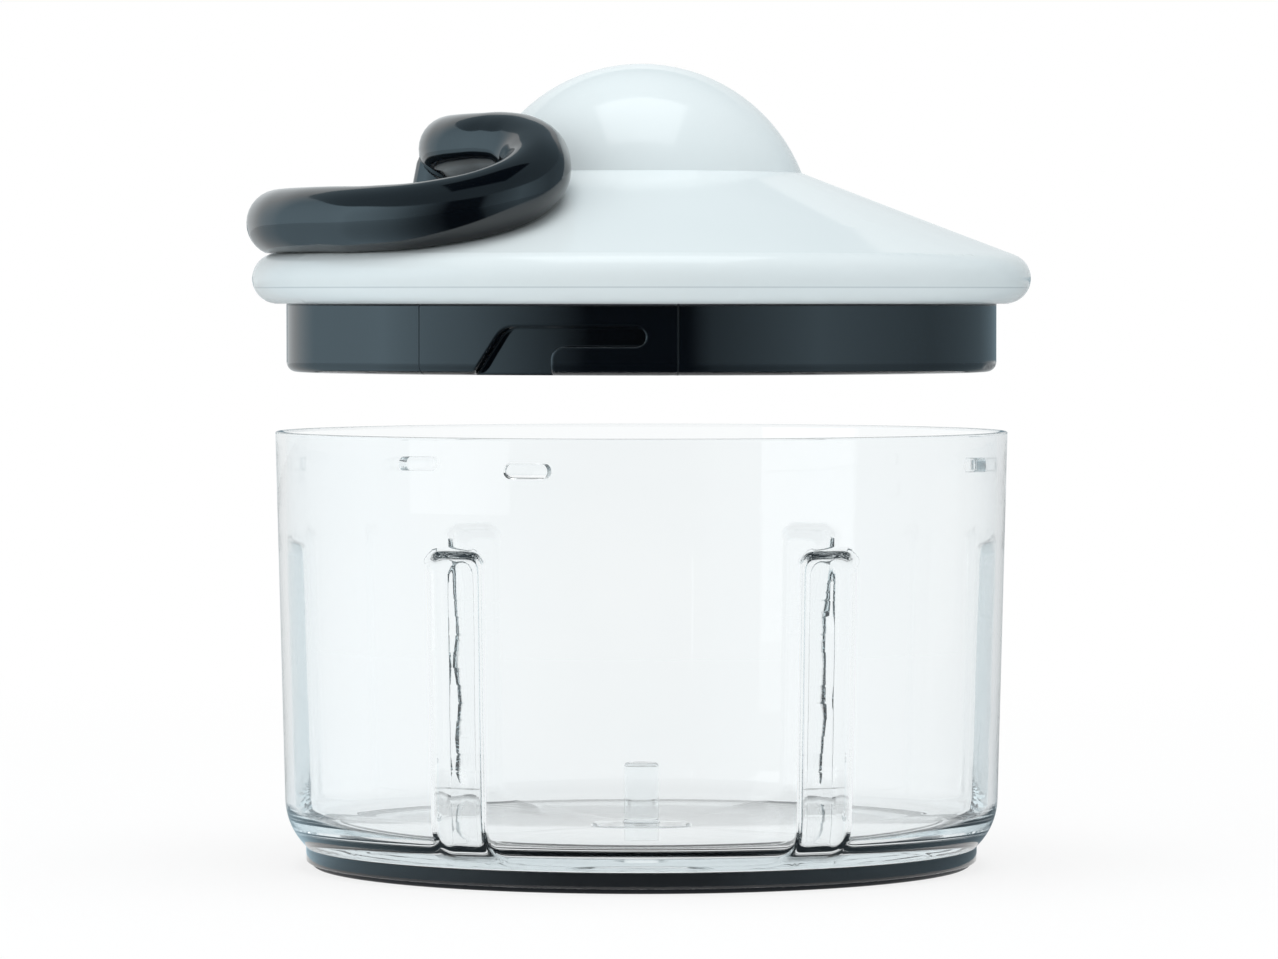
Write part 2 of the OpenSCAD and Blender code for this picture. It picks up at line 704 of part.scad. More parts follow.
module handle() color([0.03, 0.04, 0.06]) in_lid() difference() {
    union() {
        polyhedron(points = [for (p = tube_points(bar_path, bar_r, bar_sides, true)) lifted(p)],
                   faces = tube_walls(len(bar_path), bar_sides, true));
        difference() {
            translate([-bar_in_r, 0, cone_at(bar_in_r + neck_low_r)])
                cylinder(r1 = neck_low_r, r2 = neck_top_r, h = bar_in_z - cone_at(bar_in_r + neck_low_r));
            rotate_extrude() cover_outside(handle_gap);
        }
    }
    cord_bar(cord_r + cord_play, tail_start - past, neck_face);
    cord_bar(pocket_r, pocket_start, neck_face);
}

module cord_tail() color([0.85, 0.85, 0.83]) in_lid() {
    cord_bar(cord_r, tail_start, pocket_start + knot_r + cord_play);
    translate([-pocket_start - knot_r, 0, cord_level]) sphere(r = knot_r);
}

module knot_plug() color([0.03, 0.04, 0.06]) in_lid() {
    cord_bar(pocket_r, plug_face - plug_t, plug_face);
}

bowl();
foot_ring();
lid_seal();
lid_cover();
lid_base();
lid_screws();
reel_axle();
axle_clip();
cord_eyelet();
recoil_spring();
cord_lead();
reel_drum();
spring_cup();
cord_winding();
pawl_front();
pawl_rear();
ratchet_cup();
drive_socket();
drive_bush();
handle();
cord_tail();
knot_plug();
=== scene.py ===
# %% [markdown]
# # A pull cord food chopper, dressed in Blender
#
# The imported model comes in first, as a frame that is never moved. Its solids hold the sizes and
# the joints. This lesson gives them their finishes, and models again what a solid can't show
# well: the clear bowl with its soft edges, its foot ring, the round handle and the cord.

# %% Load the frame
from math import acos, atan2, cos, degrees, hypot, pi, radians, sin, sqrt, tau

import bpy
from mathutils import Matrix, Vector


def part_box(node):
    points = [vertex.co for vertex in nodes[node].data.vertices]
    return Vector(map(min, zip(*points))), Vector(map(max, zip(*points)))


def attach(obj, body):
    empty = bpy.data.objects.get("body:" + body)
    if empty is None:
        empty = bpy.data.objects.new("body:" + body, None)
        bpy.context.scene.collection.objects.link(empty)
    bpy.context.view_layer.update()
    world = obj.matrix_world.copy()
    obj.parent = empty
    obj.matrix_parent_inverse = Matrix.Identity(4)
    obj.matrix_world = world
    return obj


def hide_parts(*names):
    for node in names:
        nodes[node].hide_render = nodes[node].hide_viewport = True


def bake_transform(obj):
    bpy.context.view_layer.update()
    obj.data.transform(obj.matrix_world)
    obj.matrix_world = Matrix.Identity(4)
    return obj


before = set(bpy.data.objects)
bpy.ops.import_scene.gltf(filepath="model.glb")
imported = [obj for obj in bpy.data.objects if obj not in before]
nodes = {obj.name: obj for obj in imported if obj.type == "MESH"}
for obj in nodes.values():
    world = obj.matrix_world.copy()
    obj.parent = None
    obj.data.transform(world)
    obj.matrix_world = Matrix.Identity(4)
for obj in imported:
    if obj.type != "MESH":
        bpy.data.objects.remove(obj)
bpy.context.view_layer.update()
MM = 0.001

# %% [markdown]
# ## Sizes that several pieces share
#
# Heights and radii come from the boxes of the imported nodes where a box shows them. The rest are
# the same real sizes that the solids have, written in millimetres and turned into metres.

# %% Shared sizes
BOWL_RIM_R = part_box("bowl")[1].x
BOWL_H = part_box("bowl")[1].z
LID_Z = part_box("lid_cover")[0].z
LID_RIM_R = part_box("lid_cover")[1].x
RIM_ROUND_R = 4.6 * MM
CONE_SLOPE = radians(21)
DOME_R = 31.5 * MM
DOME_Z = LID_Z + 12.3 * MM
CORD_Z = LID_Z + 28.2 * MM
CORD_R = 0.8 * MM
HANDLE_GAP = 0.5 * MM
print("lid hangs", round((LID_Z - BOWL_H) / MM, 1), "mm above the rim")

# %% [markdown]
# ## Camera
#
# The photograph was taken with a long lens from the front, a little above the bowl's rim, so
# upright edges stay upright. The lens is worked out from how wide the picture is at the
# object's axis, and the camera is turned to a point on that axis instead of being shifted.

# %% Camera
VIEW_DISTANCE = 1171 * MM
VIEW_WIDTH = 233.9 * MM
EYE_Z = 104 * MM
AIM_Z = 70.5 * MM
VIEW_X = -0.45 * MM
SENSOR_W = 36
NEAR_CLIP = 50 * MM

camera_data = bpy.data.cameras.new("camera")
camera_data.sensor_width = SENSOR_W
camera_data.lens = SENSOR_W * VIEW_DISTANCE / VIEW_WIDTH
camera_data.clip_start = NEAR_CLIP
camera = bpy.data.objects.new("camera", camera_data)
bpy.context.scene.collection.objects.link(camera)
camera.location = (VIEW_X, -VIEW_DISTANCE, EYE_Z)
aim = Vector((VIEW_X, 0, AIM_Z)) - camera.location
camera.rotation_euler = aim.to_track_quat("-Z", "Y").to_euler()
bpy.context.scene.camera = camera
print("lens:", round(camera_data.lens, 1), "mm")

# %% [markdown]
# ## Helpers for modelling by hand
#
# An operator acts on whatever is selected, so each piece starts from an empty selection.
# Turned pieces are made as on a lathe: a ring of points is extruded from one point of the
# section to the next and resized, which keeps the mesh an even grid. Clear plastic shows the
# least error of a surface as a bent background, so long straight stretches get a ring of points
# close to each end.


# %% Selection and modifiers
SHARP_EDGE = radians(30)
SMOOTH_ANGLE = 35
SAME_PLACE = 1e-6


def clear_selection():
    if bpy.context.object and bpy.context.object.mode != "OBJECT":
        bpy.ops.object.mode_set(mode="OBJECT")
    bpy.ops.object.select_all(action="DESELECT")


def make_active(piece):
    clear_selection()
    piece.select_set(True)
    bpy.context.view_layer.objects.active = piece


def select_points(piece, wanted):
    """Selects in edit mode the points whose place passes the test, and nothing else."""
    make_active(piece)
    bpy.ops.object.mode_set(mode="EDIT")
    bpy.ops.mesh.select_mode(type="VERT")
    bpy.ops.mesh.select_all(action="DESELECT")
    bpy.ops.object.mode_set(mode="OBJECT")
    count = 0
    for vertex in piece.data.vertices:
        vertex.select = bool(wanted(vertex))
        count += vertex.select
    bpy.ops.object.mode_set(mode="EDIT")
    return count


def boolean(piece, tool, operation):
    """Joins a tool to a piece or cuts it away, and removes the tool."""
    make_active(piece)
    bpy.ops.object.modifier_add(type="BOOLEAN")
    modifier = piece.modifiers[-1]
    modifier.operation = operation
    modifier.solver = "EXACT"
    modifier.object = tool
    bpy.ops.object.modifier_apply(modifier=modifier.name)
    bpy.data.objects.remove(tool)


def round_edges(piece, width, steps):
    """Rounds the sharp edges of a piece with a bevel modifier."""
    make_active(piece)
    bpy.ops.object.modifier_add(type="BEVEL")
    modifier = piece.modifiers[-1]
    modifier.width = width
    modifier.segments = steps
    modifier.limit_method = "ANGLE"
    modifier.angle_limit = SHARP_EDGE
    bpy.ops.object.modifier_apply(modifier=modifier.name)


def tidy_mesh(piece, smooth_angle=SMOOTH_ANGLE):
    """Merges doubled points, turns all faces outwards and shades the piece smooth."""
    make_active(piece)
    bpy.ops.object.mode_set(mode="EDIT")
    bpy.ops.mesh.select_all(action="SELECT")
    bpy.ops.mesh.remove_doubles(threshold=SAME_PLACE)
    bpy.ops.mesh.normals_make_consistent(inside=False)
    bpy.ops.object.mode_set(mode="OBJECT")
    bpy.ops.object.shade_smooth_by_angle(angle=radians(smooth_angle))


def place_as_mesh(piece):
    """Puts the place and turn of an object into its mesh, so that it sits at the origin."""
    make_active(piece)
    bpy.ops.object.transform_apply(location=True, rotation=True, scale=True)


# %% [markdown]
# A section for the lathe is a list of points, each a radius and a height. Round stretches come
# from an arc helper, so that a section has only the corners that its shape needs.

# %% Lathe
AXIS_R = 0.02 * MM
HOLD = 0.25 * MM
HOLD_SHARE = 0.2


def arc(centre_r, centre_z, radius, start, end, steps):
    """Points on a round stretch of a section, with angles in degrees from outwards to upwards."""
    turns = [radians(start + (end - start) * i / steps) for i in range(steps + 1)]
    return [(centre_r + radius * cos(t), centre_z + radius * sin(t)) for t in turns]


def held(section):
    """Adds a point close to each end of a long straight stretch, so that it shades straight."""
    points = section[:1]
    for (r0, z0), (r1, z1) in zip(section, section[1:]):
        share = HOLD / max(hypot(r1 - r0, z1 - z0), HOLD)
        if share < HOLD_SHARE:
            points += [(r0 + (r1 - r0) * s, z0 + (z1 - z0) * s) for s in (share, 1 - share)]
        points.append((r1, z1))
    return points


def turn_on_lathe(name, section, columns):
    """Extrudes a ring of points along a section, and leaves the mesh ready for more work."""
    clear_selection()
    first_r, first_z = section[0]
    bpy.ops.mesh.primitive_circle_add(vertices=columns, radius=first_r, location=(0, 0, first_z))
    piece = bpy.context.object
    piece.name = piece.data.name = name
    place_as_mesh(piece)
    bpy.ops.object.mode_set(mode="EDIT")
    bpy.ops.mesh.select_all(action="SELECT")
    for (r0, z0), (r1, z1) in zip(section, section[1:]):
        bpy.ops.mesh.extrude_region_move(TRANSFORM_OT_translate={"value": (0, 0, z1 - z0)})
        bpy.ops.transform.resize(value=(r1 / r0, r1 / r0, 1), center_override=(0, 0, z1))
    bpy.ops.object.mode_set(mode="OBJECT")
    return piece


def on_axis(point):
    return hypot(point.co.x, point.co.y) < 2 * AXIS_R


def close_on_axis(piece):
    """Draws the rings that were left round the axis together into one point each."""
    levels = {round(point.co.z, 6) for point in piece.data.vertices if on_axis(point)}
    for level in levels:
        select_points(piece, lambda v: on_axis(v) and abs(v.co.z - level) < SAME_PLACE)
        bpy.ops.mesh.merge(type="CENTER")
        bpy.ops.object.mode_set(mode="OBJECT")


# %% [markdown]
# ## Finishes
#
# Each finish is a small node tree on Object coordinates, so its grain has a real size. The
# plastics share one recipe: a slow change of tone, a fine change of gloss, and the faint
# unevenness that a moulded surface has.


# %% Moulded plastic
RANGE_SOCKETS = ("From Min", "From Max", "To Min", "To Max")
NOISE_MIDDLE = (0.3, 0.7)
TONE_SCALE = 22
GLOSS_DETAIL = 4
PLASTIC_IOR = 1.45
EDGE_SAMPLES = 8


def new_finish(name):
    material = bpy.data.materials.new(name)
    material.use_nodes = True
    tree = material.node_tree
    shader = tree.nodes["Principled BSDF"]
    coordinates = tree.nodes.new("ShaderNodeTexCoord")
    return material, tree, shader, coordinates.outputs["Object"]


def noise(tree, place, scale, detail=2.0):
    texture = tree.nodes.new("ShaderNodeTexNoise")
    texture.inputs["Scale"].default_value = scale
    texture.inputs["Detail"].default_value = detail
    tree.links.new(place, texture.inputs["Vector"])
    return texture.outputs["Fac"]


def map_range(tree, value, start, end, low, high):
    """A node that maps one range of a value to another."""
    node = tree.nodes.new("ShaderNodeMapRange")
    for socket, number in zip(RANGE_SOCKETS, (start, end, low, high)):
        node.inputs[socket].default_value = number
    tree.links.new(value, node.inputs["Value"])
    return node


def spread(tree, value, low, high):
    """Maps the middle of a noise, where most of it lies, to a range."""
    return map_range(tree, value, *NOISE_MIDDLE, low, high).outputs["Result"]


def tones(tree, value, dark, light):
    """Mixes two tones of a colour by a value from 0 to 1."""
    node = tree.nodes.new("ShaderNodeMix")
    node.data_type = "RGBA"
    node.inputs["A"].default_value = (*dark, 1)
    node.inputs["B"].default_value = (*light, 1)
    tree.links.new(value, node.inputs["Factor"])
    return node.outputs["Result"]


def raise_surface(tree, shader, height, distance):
    node = tree.nodes.new("ShaderNodeBump")
    node.inputs["Distance"].default_value = distance
    node.inputs["Strength"].default_value = 1.0
    tree.links.new(height, node.inputs["Height"])
    tree.links.new(node.outputs["Normal"], shader.inputs["Normal"])
    return node


def moulded_plastic(name, dark, light, gloss, grain, depth, shine=0.5, edge=0.0):
    """A plastic with two close tones, a range of roughness, a grain of a size, and soft edges."""
    material, tree, shader, place = new_finish(name)
    cloud = spread(tree, noise(tree, place, TONE_SCALE), 0, 1)
    tree.links.new(tones(tree, cloud, dark, light), shader.inputs["Base Color"])
    fine = noise(tree, place, 1 / grain, GLOSS_DETAIL)
    tree.links.new(spread(tree, fine, *gloss), shader.inputs["Roughness"])
    grain_bump = raise_surface(tree, shader, noise(tree, place, 1 / grain), depth)
    shader.inputs["IOR"].default_value = PLASTIC_IOR
    shader.inputs["Specular IOR Level"].default_value = shine
    if edge:
        soft_edge = tree.nodes.new("ShaderNodeBevel")
        soft_edge.samples = EDGE_SAMPLES
        soft_edge.inputs["Radius"].default_value = edge
        tree.links.new(soft_edge.outputs["Normal"], grain_bump.inputs["Normal"])
    return material


BLACK_TONES = (0.0012, 0.0022, 0.004), (0.0018, 0.003, 0.005)
BLACK_GLOSS = (0.05, 0.09)
BLACK_GRAIN = 16 * MM
BLACK_DEPTH = 0.004 * MM
BLACK_EDGE = 0.7 * MM


def glossy_black(name):
    return moulded_plastic(name, *BLACK_TONES, BLACK_GLOSS, BLACK_GRAIN, BLACK_DEPTH,
                           shine=1.0, edge=BLACK_EDGE)


white_gloss = moulded_plastic("white_gloss_plastic", (0.765, 0.845, 0.865), (0.785, 0.86, 0.88),
                              gloss=(0.07, 0.11), grain=14 * MM, depth=0.004 * MM)
black_gloss = glossy_black("black_gloss_plastic")
bearing_plastic = moulded_plastic("bearing_plastic", (0.74, 0.74, 0.70), (0.80, 0.80, 0.77),
                                  gloss=(0.35, 0.5), grain=1.2 * MM, depth=0.01 * MM)
clutch_plastic = moulded_plastic("clutch_plastic", (0.24, 0.27, 0.31), (0.30, 0.33, 0.37),
                                 gloss=(0.35, 0.5), grain=1.0 * MM, depth=0.01 * MM)
foot_rubber = moulded_plastic("foot_rubber", (0.005, 0.008, 0.012), (0.008, 0.012, 0.017),
                              gloss=(0.38, 0.5), grain=0.5 * MM, depth=0.015 * MM, shine=0.25)
seal_rubber = moulded_plastic("seal_rubber", (0.42, 0.43, 0.44), (0.48, 0.49, 0.5),
                              gloss=(0.5, 0.62), grain=0.6 * MM, depth=0.015 * MM)
print("moulded finishes made")

# %% [markdown]
# Moulds leave fine lines where their halves meet. On the black skirt such a line runs upright, at
# two places in each third, and shows as a duller hair. On the cover a level line runs round the
# edge where the top shell meets the rim, and its darker colour is painted shade for the seam's gap.


# %% Lines that the mould leaves, and a painted seam shadow
def calculate(tree, operation, *values):
    """A Math node on sockets and plain numbers."""
    node = tree.nodes.new("ShaderNodeMath")
    node.operation = operation
    for socket, value in zip(node.inputs, values):
        if isinstance(value, (int, float)):
            socket.default_value = value
        else:
            tree.links.new(value, socket)
    return node.outputs[0]


def angle_round_axis(tree, place, start):
    """Angle about the object's axis, counted from the camera's side and then from a start."""
    turned = tree.nodes.new("ShaderNodeMapping")
    turned.inputs["Rotation"].default_value = (0, 0, radians(90 - start))
    tree.links.new(place, turned.inputs["Vector"])
    parts = tree.nodes.new("ShaderNodeSeparateXYZ")
    tree.links.new(turned.outputs["Vector"], parts.inputs[0])
    return calculate(tree, "ARCTAN2", parts.outputs["Y"], parts.outputs["X"])


SEAM_ANGLES = (-36.9, 5.6)
SEAM_COUNT = 3
SEAM_HALF_W = 0.15 * MM
SEAM_DULL = 0.6
SKIRT_R = 64.85 * MM
COVER_SEAM_Z = LID_Z + 2.9 * MM
COVER_SEAM_W = 0.25 * MM
# Painted shade: the darker colour of the cover's seam line stands for the shadow in its gap.
COVER_SEAM_PAINTED_SHADOW = (0.6, 0.68, 0.71)


def add_upright_seams(material):
    """Dulls the plastic along upright lines that repeat round the axis."""
    tree = material.node_tree
    shader = tree.nodes["Principled BSDF"]
    place = tree.nodes["Texture Coordinate"].outputs["Object"]
    rough = shader.inputs["Roughness"].links[0].from_socket
    third = pi / SEAM_COUNT
    for start in SEAM_ANGLES:
        away = calculate(tree, "WRAP", angle_round_axis(tree, place, start), third, -third)
        line = calculate(tree, "LESS_THAN", calculate(tree, "ABSOLUTE", away), SEAM_HALF_W / SKIRT_R)
        rough = calculate(tree, "MAXIMUM", rough, calculate(tree, "MULTIPLY", line, SEAM_DULL))
    tree.links.new(rough, shader.inputs["Roughness"])


def paint_seam_shadow(material, level, width, shade):
    """Paints shade along a level line: a darker band that stands for the shadow in a seam's gap."""
    tree = material.node_tree
    shader = tree.nodes["Principled BSDF"]
    parts = tree.nodes.new("ShaderNodeSeparateXYZ")
    tree.links.new(tree.nodes["Texture Coordinate"].outputs["Object"], parts.inputs[0])
    away = calculate(tree, "ABSOLUTE", calculate(tree, "SUBTRACT", parts.outputs["Z"], level))
    line = calculate(tree, "LESS_THAN", away, width / 2)
    colour = tree.nodes.new("ShaderNodeMix")
    colour.data_type = "RGBA"
    tree.links.new(line, colour.inputs["Factor"])
    tree.links.new(shader.inputs["Base Color"].links[0].from_socket, colour.inputs["A"])
    colour.inputs["B"].default_value = (*shade, 1)
    tree.links.new(colour.outputs["Result"], shader.inputs["Base Color"])


skirt_black = glossy_black("skirt_black_plastic")
add_upright_seams(skirt_black)
# The cover's seam line is painted shade, a darker band for the shadow in the seam's gap.
paint_seam_shadow(white_gloss, COVER_SEAM_Z, COVER_SEAM_W, COVER_SEAM_PAINTED_SHADOW)
print("mould lines added")

# %% [markdown]
# The bowl is clear plastic. Its light passes through real walls, so the shader only needs the
# right bend of light, a very slight waviness from moulding, and a cool tint that builds up with
# the length of plastic that is looked through: faint through a wall, darker along an edge.


# %% Clear plastic
CLEAR_TONES = (0.957, 0.975, 0.98), (0.97, 0.985, 0.988)
CLEAR_TONE_SCALE = 30
CLEAR_IOR = 1.5
CLEAR_WAVE_SCALE = 90
CLEAR_WAVE_DEPTH = 0.012 * MM
CLEAR_TINT = (0.4, 0.56, 0.61, 1)
TINT_DENSITY = 5


def clear_plastic():
    material, tree, shader, place = new_finish("clear_plastic")
    cloud = spread(tree, noise(tree, place, CLEAR_TONE_SCALE), 0, 1)
    tree.links.new(tones(tree, cloud, *CLEAR_TONES), shader.inputs["Base Color"])
    shader.inputs["Roughness"].default_value = 0.0
    shader.inputs["IOR"].default_value = CLEAR_IOR
    shader.inputs["Transmission Weight"].default_value = 1.0
    raise_surface(tree, shader, noise(tree, place, CLEAR_WAVE_SCALE), CLEAR_WAVE_DEPTH)
    tint = tree.nodes.new("ShaderNodeVolumeAbsorption")
    tint.inputs["Color"].default_value = CLEAR_TINT
    tint.inputs["Density"].default_value = TINT_DENSITY
    tree.links.new(tint.outputs["Volume"], tree.nodes["Material Output"].inputs["Volume"])
    return material


clear_finish = clear_plastic()
print("clear finish made")

# %% [markdown]
# Steel pieces are ground or rolled, so their gloss runs in fine lines. Stretching a noise along
# one axis gives such lines. The cord is a braid: two sets of fine slanting ridges cross on it.


# %% Steel and cord
STEEL_STRETCH = (1, 1, 40)
STEEL_GLOSS = (0.22, 0.36)
STEEL_DEPTH = 0.004 * MM
BRAID_TONES = (0.58, 0.58, 0.55), (0.8, 0.8, 0.77)
BRAID_SCALE = 420
BRAID_BLUR = 1.2
BRAID_LEAN = radians(35)
BRAID_ROUGH = 0.75
BRAID_DEPTH = 0.08 * MM


def ground_steel(name, dark, light, lines):
    material, tree, shader, place = new_finish(name)
    stretch = tree.nodes.new("ShaderNodeMapping")
    stretch.inputs["Scale"].default_value = STEEL_STRETCH
    tree.links.new(place, stretch.inputs["Vector"])
    grain = noise(tree, stretch.outputs["Vector"], lines, 3)
    tree.links.new(tones(tree, spread(tree, grain, 0, 1), dark, light), shader.inputs["Base Color"])
    tree.links.new(spread(tree, grain, *STEEL_GLOSS), shader.inputs["Roughness"])
    shader.inputs["Metallic"].default_value = 1.0
    raise_surface(tree, shader, grain, STEEL_DEPTH)
    return material


def braid_ridges(tree, place, turn):
    lean = tree.nodes.new("ShaderNodeMapping")
    lean.inputs["Rotation"].default_value = (0, 0, turn)
    tree.links.new(place, lean.inputs["Vector"])
    ridges = tree.nodes.new("ShaderNodeTexWave")
    ridges.inputs["Scale"].default_value = BRAID_SCALE
    ridges.inputs["Distortion"].default_value = BRAID_BLUR
    tree.links.new(lean.outputs["Vector"], ridges.inputs["Vector"])
    return ridges.outputs["Fac"]


def braided_cord():
    material, tree, shader, place = new_finish("braided_cord")
    one_way = braid_ridges(tree, place, BRAID_LEAN)
    other_way = braid_ridges(tree, place, -BRAID_LEAN)
    both = calculate(tree, "MULTIPLY", one_way, other_way)
    tree.links.new(tones(tree, both, *BRAID_TONES), shader.inputs["Base Color"])
    shader.inputs["Roughness"].default_value = BRAID_ROUGH
    raise_surface(tree, shader, both, BRAID_DEPTH)
    return material


steel = ground_steel("ground_steel", (0.56, 0.57, 0.59), (0.68, 0.69, 0.7), lines=60)
spring_steel = ground_steel("spring_steel", (0.3, 0.33, 0.37), (0.4, 0.43, 0.47), lines=80)
cord_finish = braided_cord()
print("finishes made:", len(bpy.data.materials))

# %% [markdown]
# A finished piece gets one material, the body that it moves with, and the imported node that it
# takes the place of.


# %% Dress a piece or a imported node
def dress(piece, material):
    piece.data.materials.clear()
    piece.data.materials.append(material)


def settle(piece, material, body, slot, *stands_for):
    """Gives a finished piece its material, its body and the node that it stands for."""
    dress(piece, material)
    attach(piece, body)
    if stands_for:
        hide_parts(*stands_for)
    print(piece.name, "points:", len(piece.data.vertices))


# %% [markdown]
# ## Clear bowl
#
# The bowl is one moulding: wall, floor, ribs, bayonet lugs and the pin that a blade turns on.
# A sharp solid bends light in hard lines, and a real moulding has soft corners. So it is turned
# on the lathe as a fine grid, and the ribs are drawn inwards out of the inside wall in a few
# nested steps, each narrower and lower than the last, which rounds their edges.

# %% Section of the bowl
BOWL_LOW_R = 65.2 * MM
MOUTH_R = 65.2 * MM
MOUTH_LOW_Z = BOWL_H - 13.4 * MM
BEND_R = 12 * MM
BEND_Z = 12.5 * MM
FLOOR_Z = 7 * MM
FLOOR_LOW_Z = 5 * MM
INSIDE_R = 63.5 * MM
FILLET_R = 5 * MM
LIP_R = 61.4 * MM
LIP_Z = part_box("bowl")[0].z
FOOT_IN_R = 57.2 * MM
FOOT_OUT_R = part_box("foot_ring")[1].x
FOOT_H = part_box("foot_ring")[1].z
SKIRT_IN_R = 55.2 * MM
SOFT = 0.35 * MM
PIN_R = 3.2 * MM
PIN_ROUND = 0.7 * MM
PIN_TOP_Z = 18.5 * MM
PIN_SEAT_R = 9 * MM
PIN_SEAT_Z = 7.5 * MM
RIB_TOP_Z = 59 * MM


def inside_r(z):
    """Radius of the inside wall between the fillet and the mouth."""
    low = FLOOR_Z + FILLET_R
    return INSIDE_R + (MOUTH_R - INSIDE_R) * (z - low) / (MOUTH_LOW_Z - low)


bend_start = -degrees(acos((LIP_R - BOWL_LOW_R + BEND_R) / BEND_R))
outside = (
    [(AXIS_R, FLOOR_LOW_Z), (SKIRT_IN_R, FLOOR_LOW_Z)]
    + [(SKIRT_IN_R, LIP_Z + SOFT), (SKIRT_IN_R + SOFT, LIP_Z), (FOOT_IN_R - SOFT, LIP_Z)]
    + [(FOOT_IN_R, LIP_Z + SOFT), (FOOT_IN_R, FOOT_H), (FOOT_OUT_R, FOOT_H)]
    + [(FOOT_OUT_R, LIP_Z + SOFT), (FOOT_OUT_R + SOFT, LIP_Z)]
    + arc(LIP_R - SOFT, LIP_Z + SOFT, SOFT, -90, 0, 3)
    + arc(BOWL_LOW_R - BEND_R, BEND_Z, BEND_R, bend_start, 0, 12)
    + arc(BOWL_RIM_R - SOFT, BOWL_H - SOFT, SOFT, 0, 90, 4)
    + arc(MOUTH_R + SOFT, BOWL_H - SOFT, SOFT, 90, 180, 4)
)
rib_edge_steps = (1.4, 0.6, 0.2, -0.1, -0.4, -0.8, -1.2, -1.7, -2.4, -3.2)
rib_face_steps = range(-5, -46, -3)
rib_levels = [RIB_TOP_Z + step * MM for step in (*rib_edge_steps, *rib_face_steps)]
inside = (
    [(MOUTH_R, MOUTH_LOW_Z)]
    + [(inside_r(z), z) for z in rib_levels]
    + arc(INSIDE_R - FILLET_R, FLOOR_Z + FILLET_R, FILLET_R, 0, -90, 8)
)
pin = (
    [(PIN_SEAT_R + SOFT, FLOOR_Z)]
    + arc(PIN_SEAT_R - SOFT, PIN_SEAT_Z - SOFT, SOFT, 0, 90, 3)
    + [(PIN_R + SOFT, PIN_SEAT_Z), (PIN_R, PIN_SEAT_Z + SOFT)]
    + arc(PIN_R - PIN_ROUND, PIN_TOP_Z - PIN_ROUND, PIN_ROUND, 0, 90, 5)
    + [(AXIS_R, PIN_TOP_Z)]
)
print("section points:", len(outside), len(inside), len(pin))

# %% [markdown]
# The section is turned in enough columns that the round edge of a rib gets several of them, and in
# few enough that the mesh stays light.

# %% Turn the bowl
BOWL_COLUMNS = 648
bowl = turn_on_lathe("clear_bowl", held(outside + inside + pin), BOWL_COLUMNS)
print("bowl grid:", len(bowl.data.vertices))

# %% [markdown]
# The points of the inside wall are known by their place. In each step those within a rib's outline
# are selected on all six ribs at once, and drawn towards the axis. The outline has round corners
# at its top and flares out into the floor. The steps follow a quarter round and are smoothed
# a little at the end, so the rib's edges are soft.

# %% Draw the ribs out of the wall
BOWL_SMOOTH = 60
RIB_COUNT = 6
RIB_W = 10.5 * MM
RIB_DEPTH_SHARE = 0.048
RIB_EDGE_R = 1.5 * MM
RIB_CORNER_R = 2 * MM
RIB_FLARE_R = 2.5 * MM
RIB_SMOOTH = 3
RIB_SMOOTH_SHARE = 0.5
RIB_TOP_EDGE_Z = RIB_TOP_Z + 0.25 * MM
WALL_PLAY = 0.1 * MM
FLOOR_PLAY = 0.01 * MM
rib_steps = [(0, 0.1), (0.15, 0.6), (0.4, 0.83), (0.7, 0.95), (1, 1)]


def across_rib(point):
    """Distance along the wall from a point of the grid to the middle of the nearest rib."""
    turn = atan2(point.co.y, point.co.x)
    away = (turn + pi / RIB_COUNT) % (tau / RIB_COUNT) - pi / RIB_COUNT
    return abs(away) * INSIDE_R


def on_inside_wall(point):
    r = hypot(point.co.x, point.co.y)
    wall = inside_r(max(point.co.z, FLOOR_Z + FILLET_R))
    return point.co.z > FLOOR_Z - FLOOR_PLAY and INSIDE_R - 3 * FILLET_R < r < wall + WALL_PLAY


def in_rib(point, inset):
    """True for points of the wall inside a rib's outline, drawn in by an inset."""
    rise = min(point.co.z - FLOOR_Z, RIB_FLARE_R)
    flare = RIB_FLARE_R - sqrt(RIB_FLARE_R ** 2 - (RIB_FLARE_R - max(rise, 0)) ** 2)
    side = across_rib(point) - (RIB_W / 2 - inset + flare)
    top = point.co.z - (RIB_TOP_EDGE_Z - inset)
    if side > 0 or top > 0:
        return False
    return hypot(max(side + RIB_CORNER_R, 0), max(top + RIB_CORNER_R, 0)) <= RIB_CORNER_R


drawn = 1.0
for inset_share, depth_share in rib_steps:
    chosen = select_points(bowl, lambda v: on_inside_wall(v) and in_rib(v, inset_share * RIB_EDGE_R))
    wanted = 1 - RIB_DEPTH_SHARE * depth_share
    bpy.ops.transform.resize(value=(wanted / drawn, wanted / drawn, 1), center_override=(0, 0, 0))
    drawn = wanted
    if inset_share == 0:
        bpy.ops.object.vertex_group_add()
        bpy.ops.object.vertex_group_assign()
    print("rib step:", inset_share, "of the edge,", chosen, "points")

select_points(bowl, lambda v: len(v.groups) > 0)
bpy.ops.mesh.vertices_smooth(factor=RIB_SMOOTH_SHARE, repeat=RIB_SMOOTH, zaxis=False)
bpy.ops.object.mode_set(mode="OBJECT")

# %% [markdown]
# A mould never leaves a rib quite even, and clear plastic shows it. A displace modifier puts a
# faint waviness on the points of the ribs, which the first step kept as a group.

# %% Waviness of the ribs
RIB_WAVE_LENGTH = 12 * MM
RIB_WAVE_DEPTH = 0.15 * MM

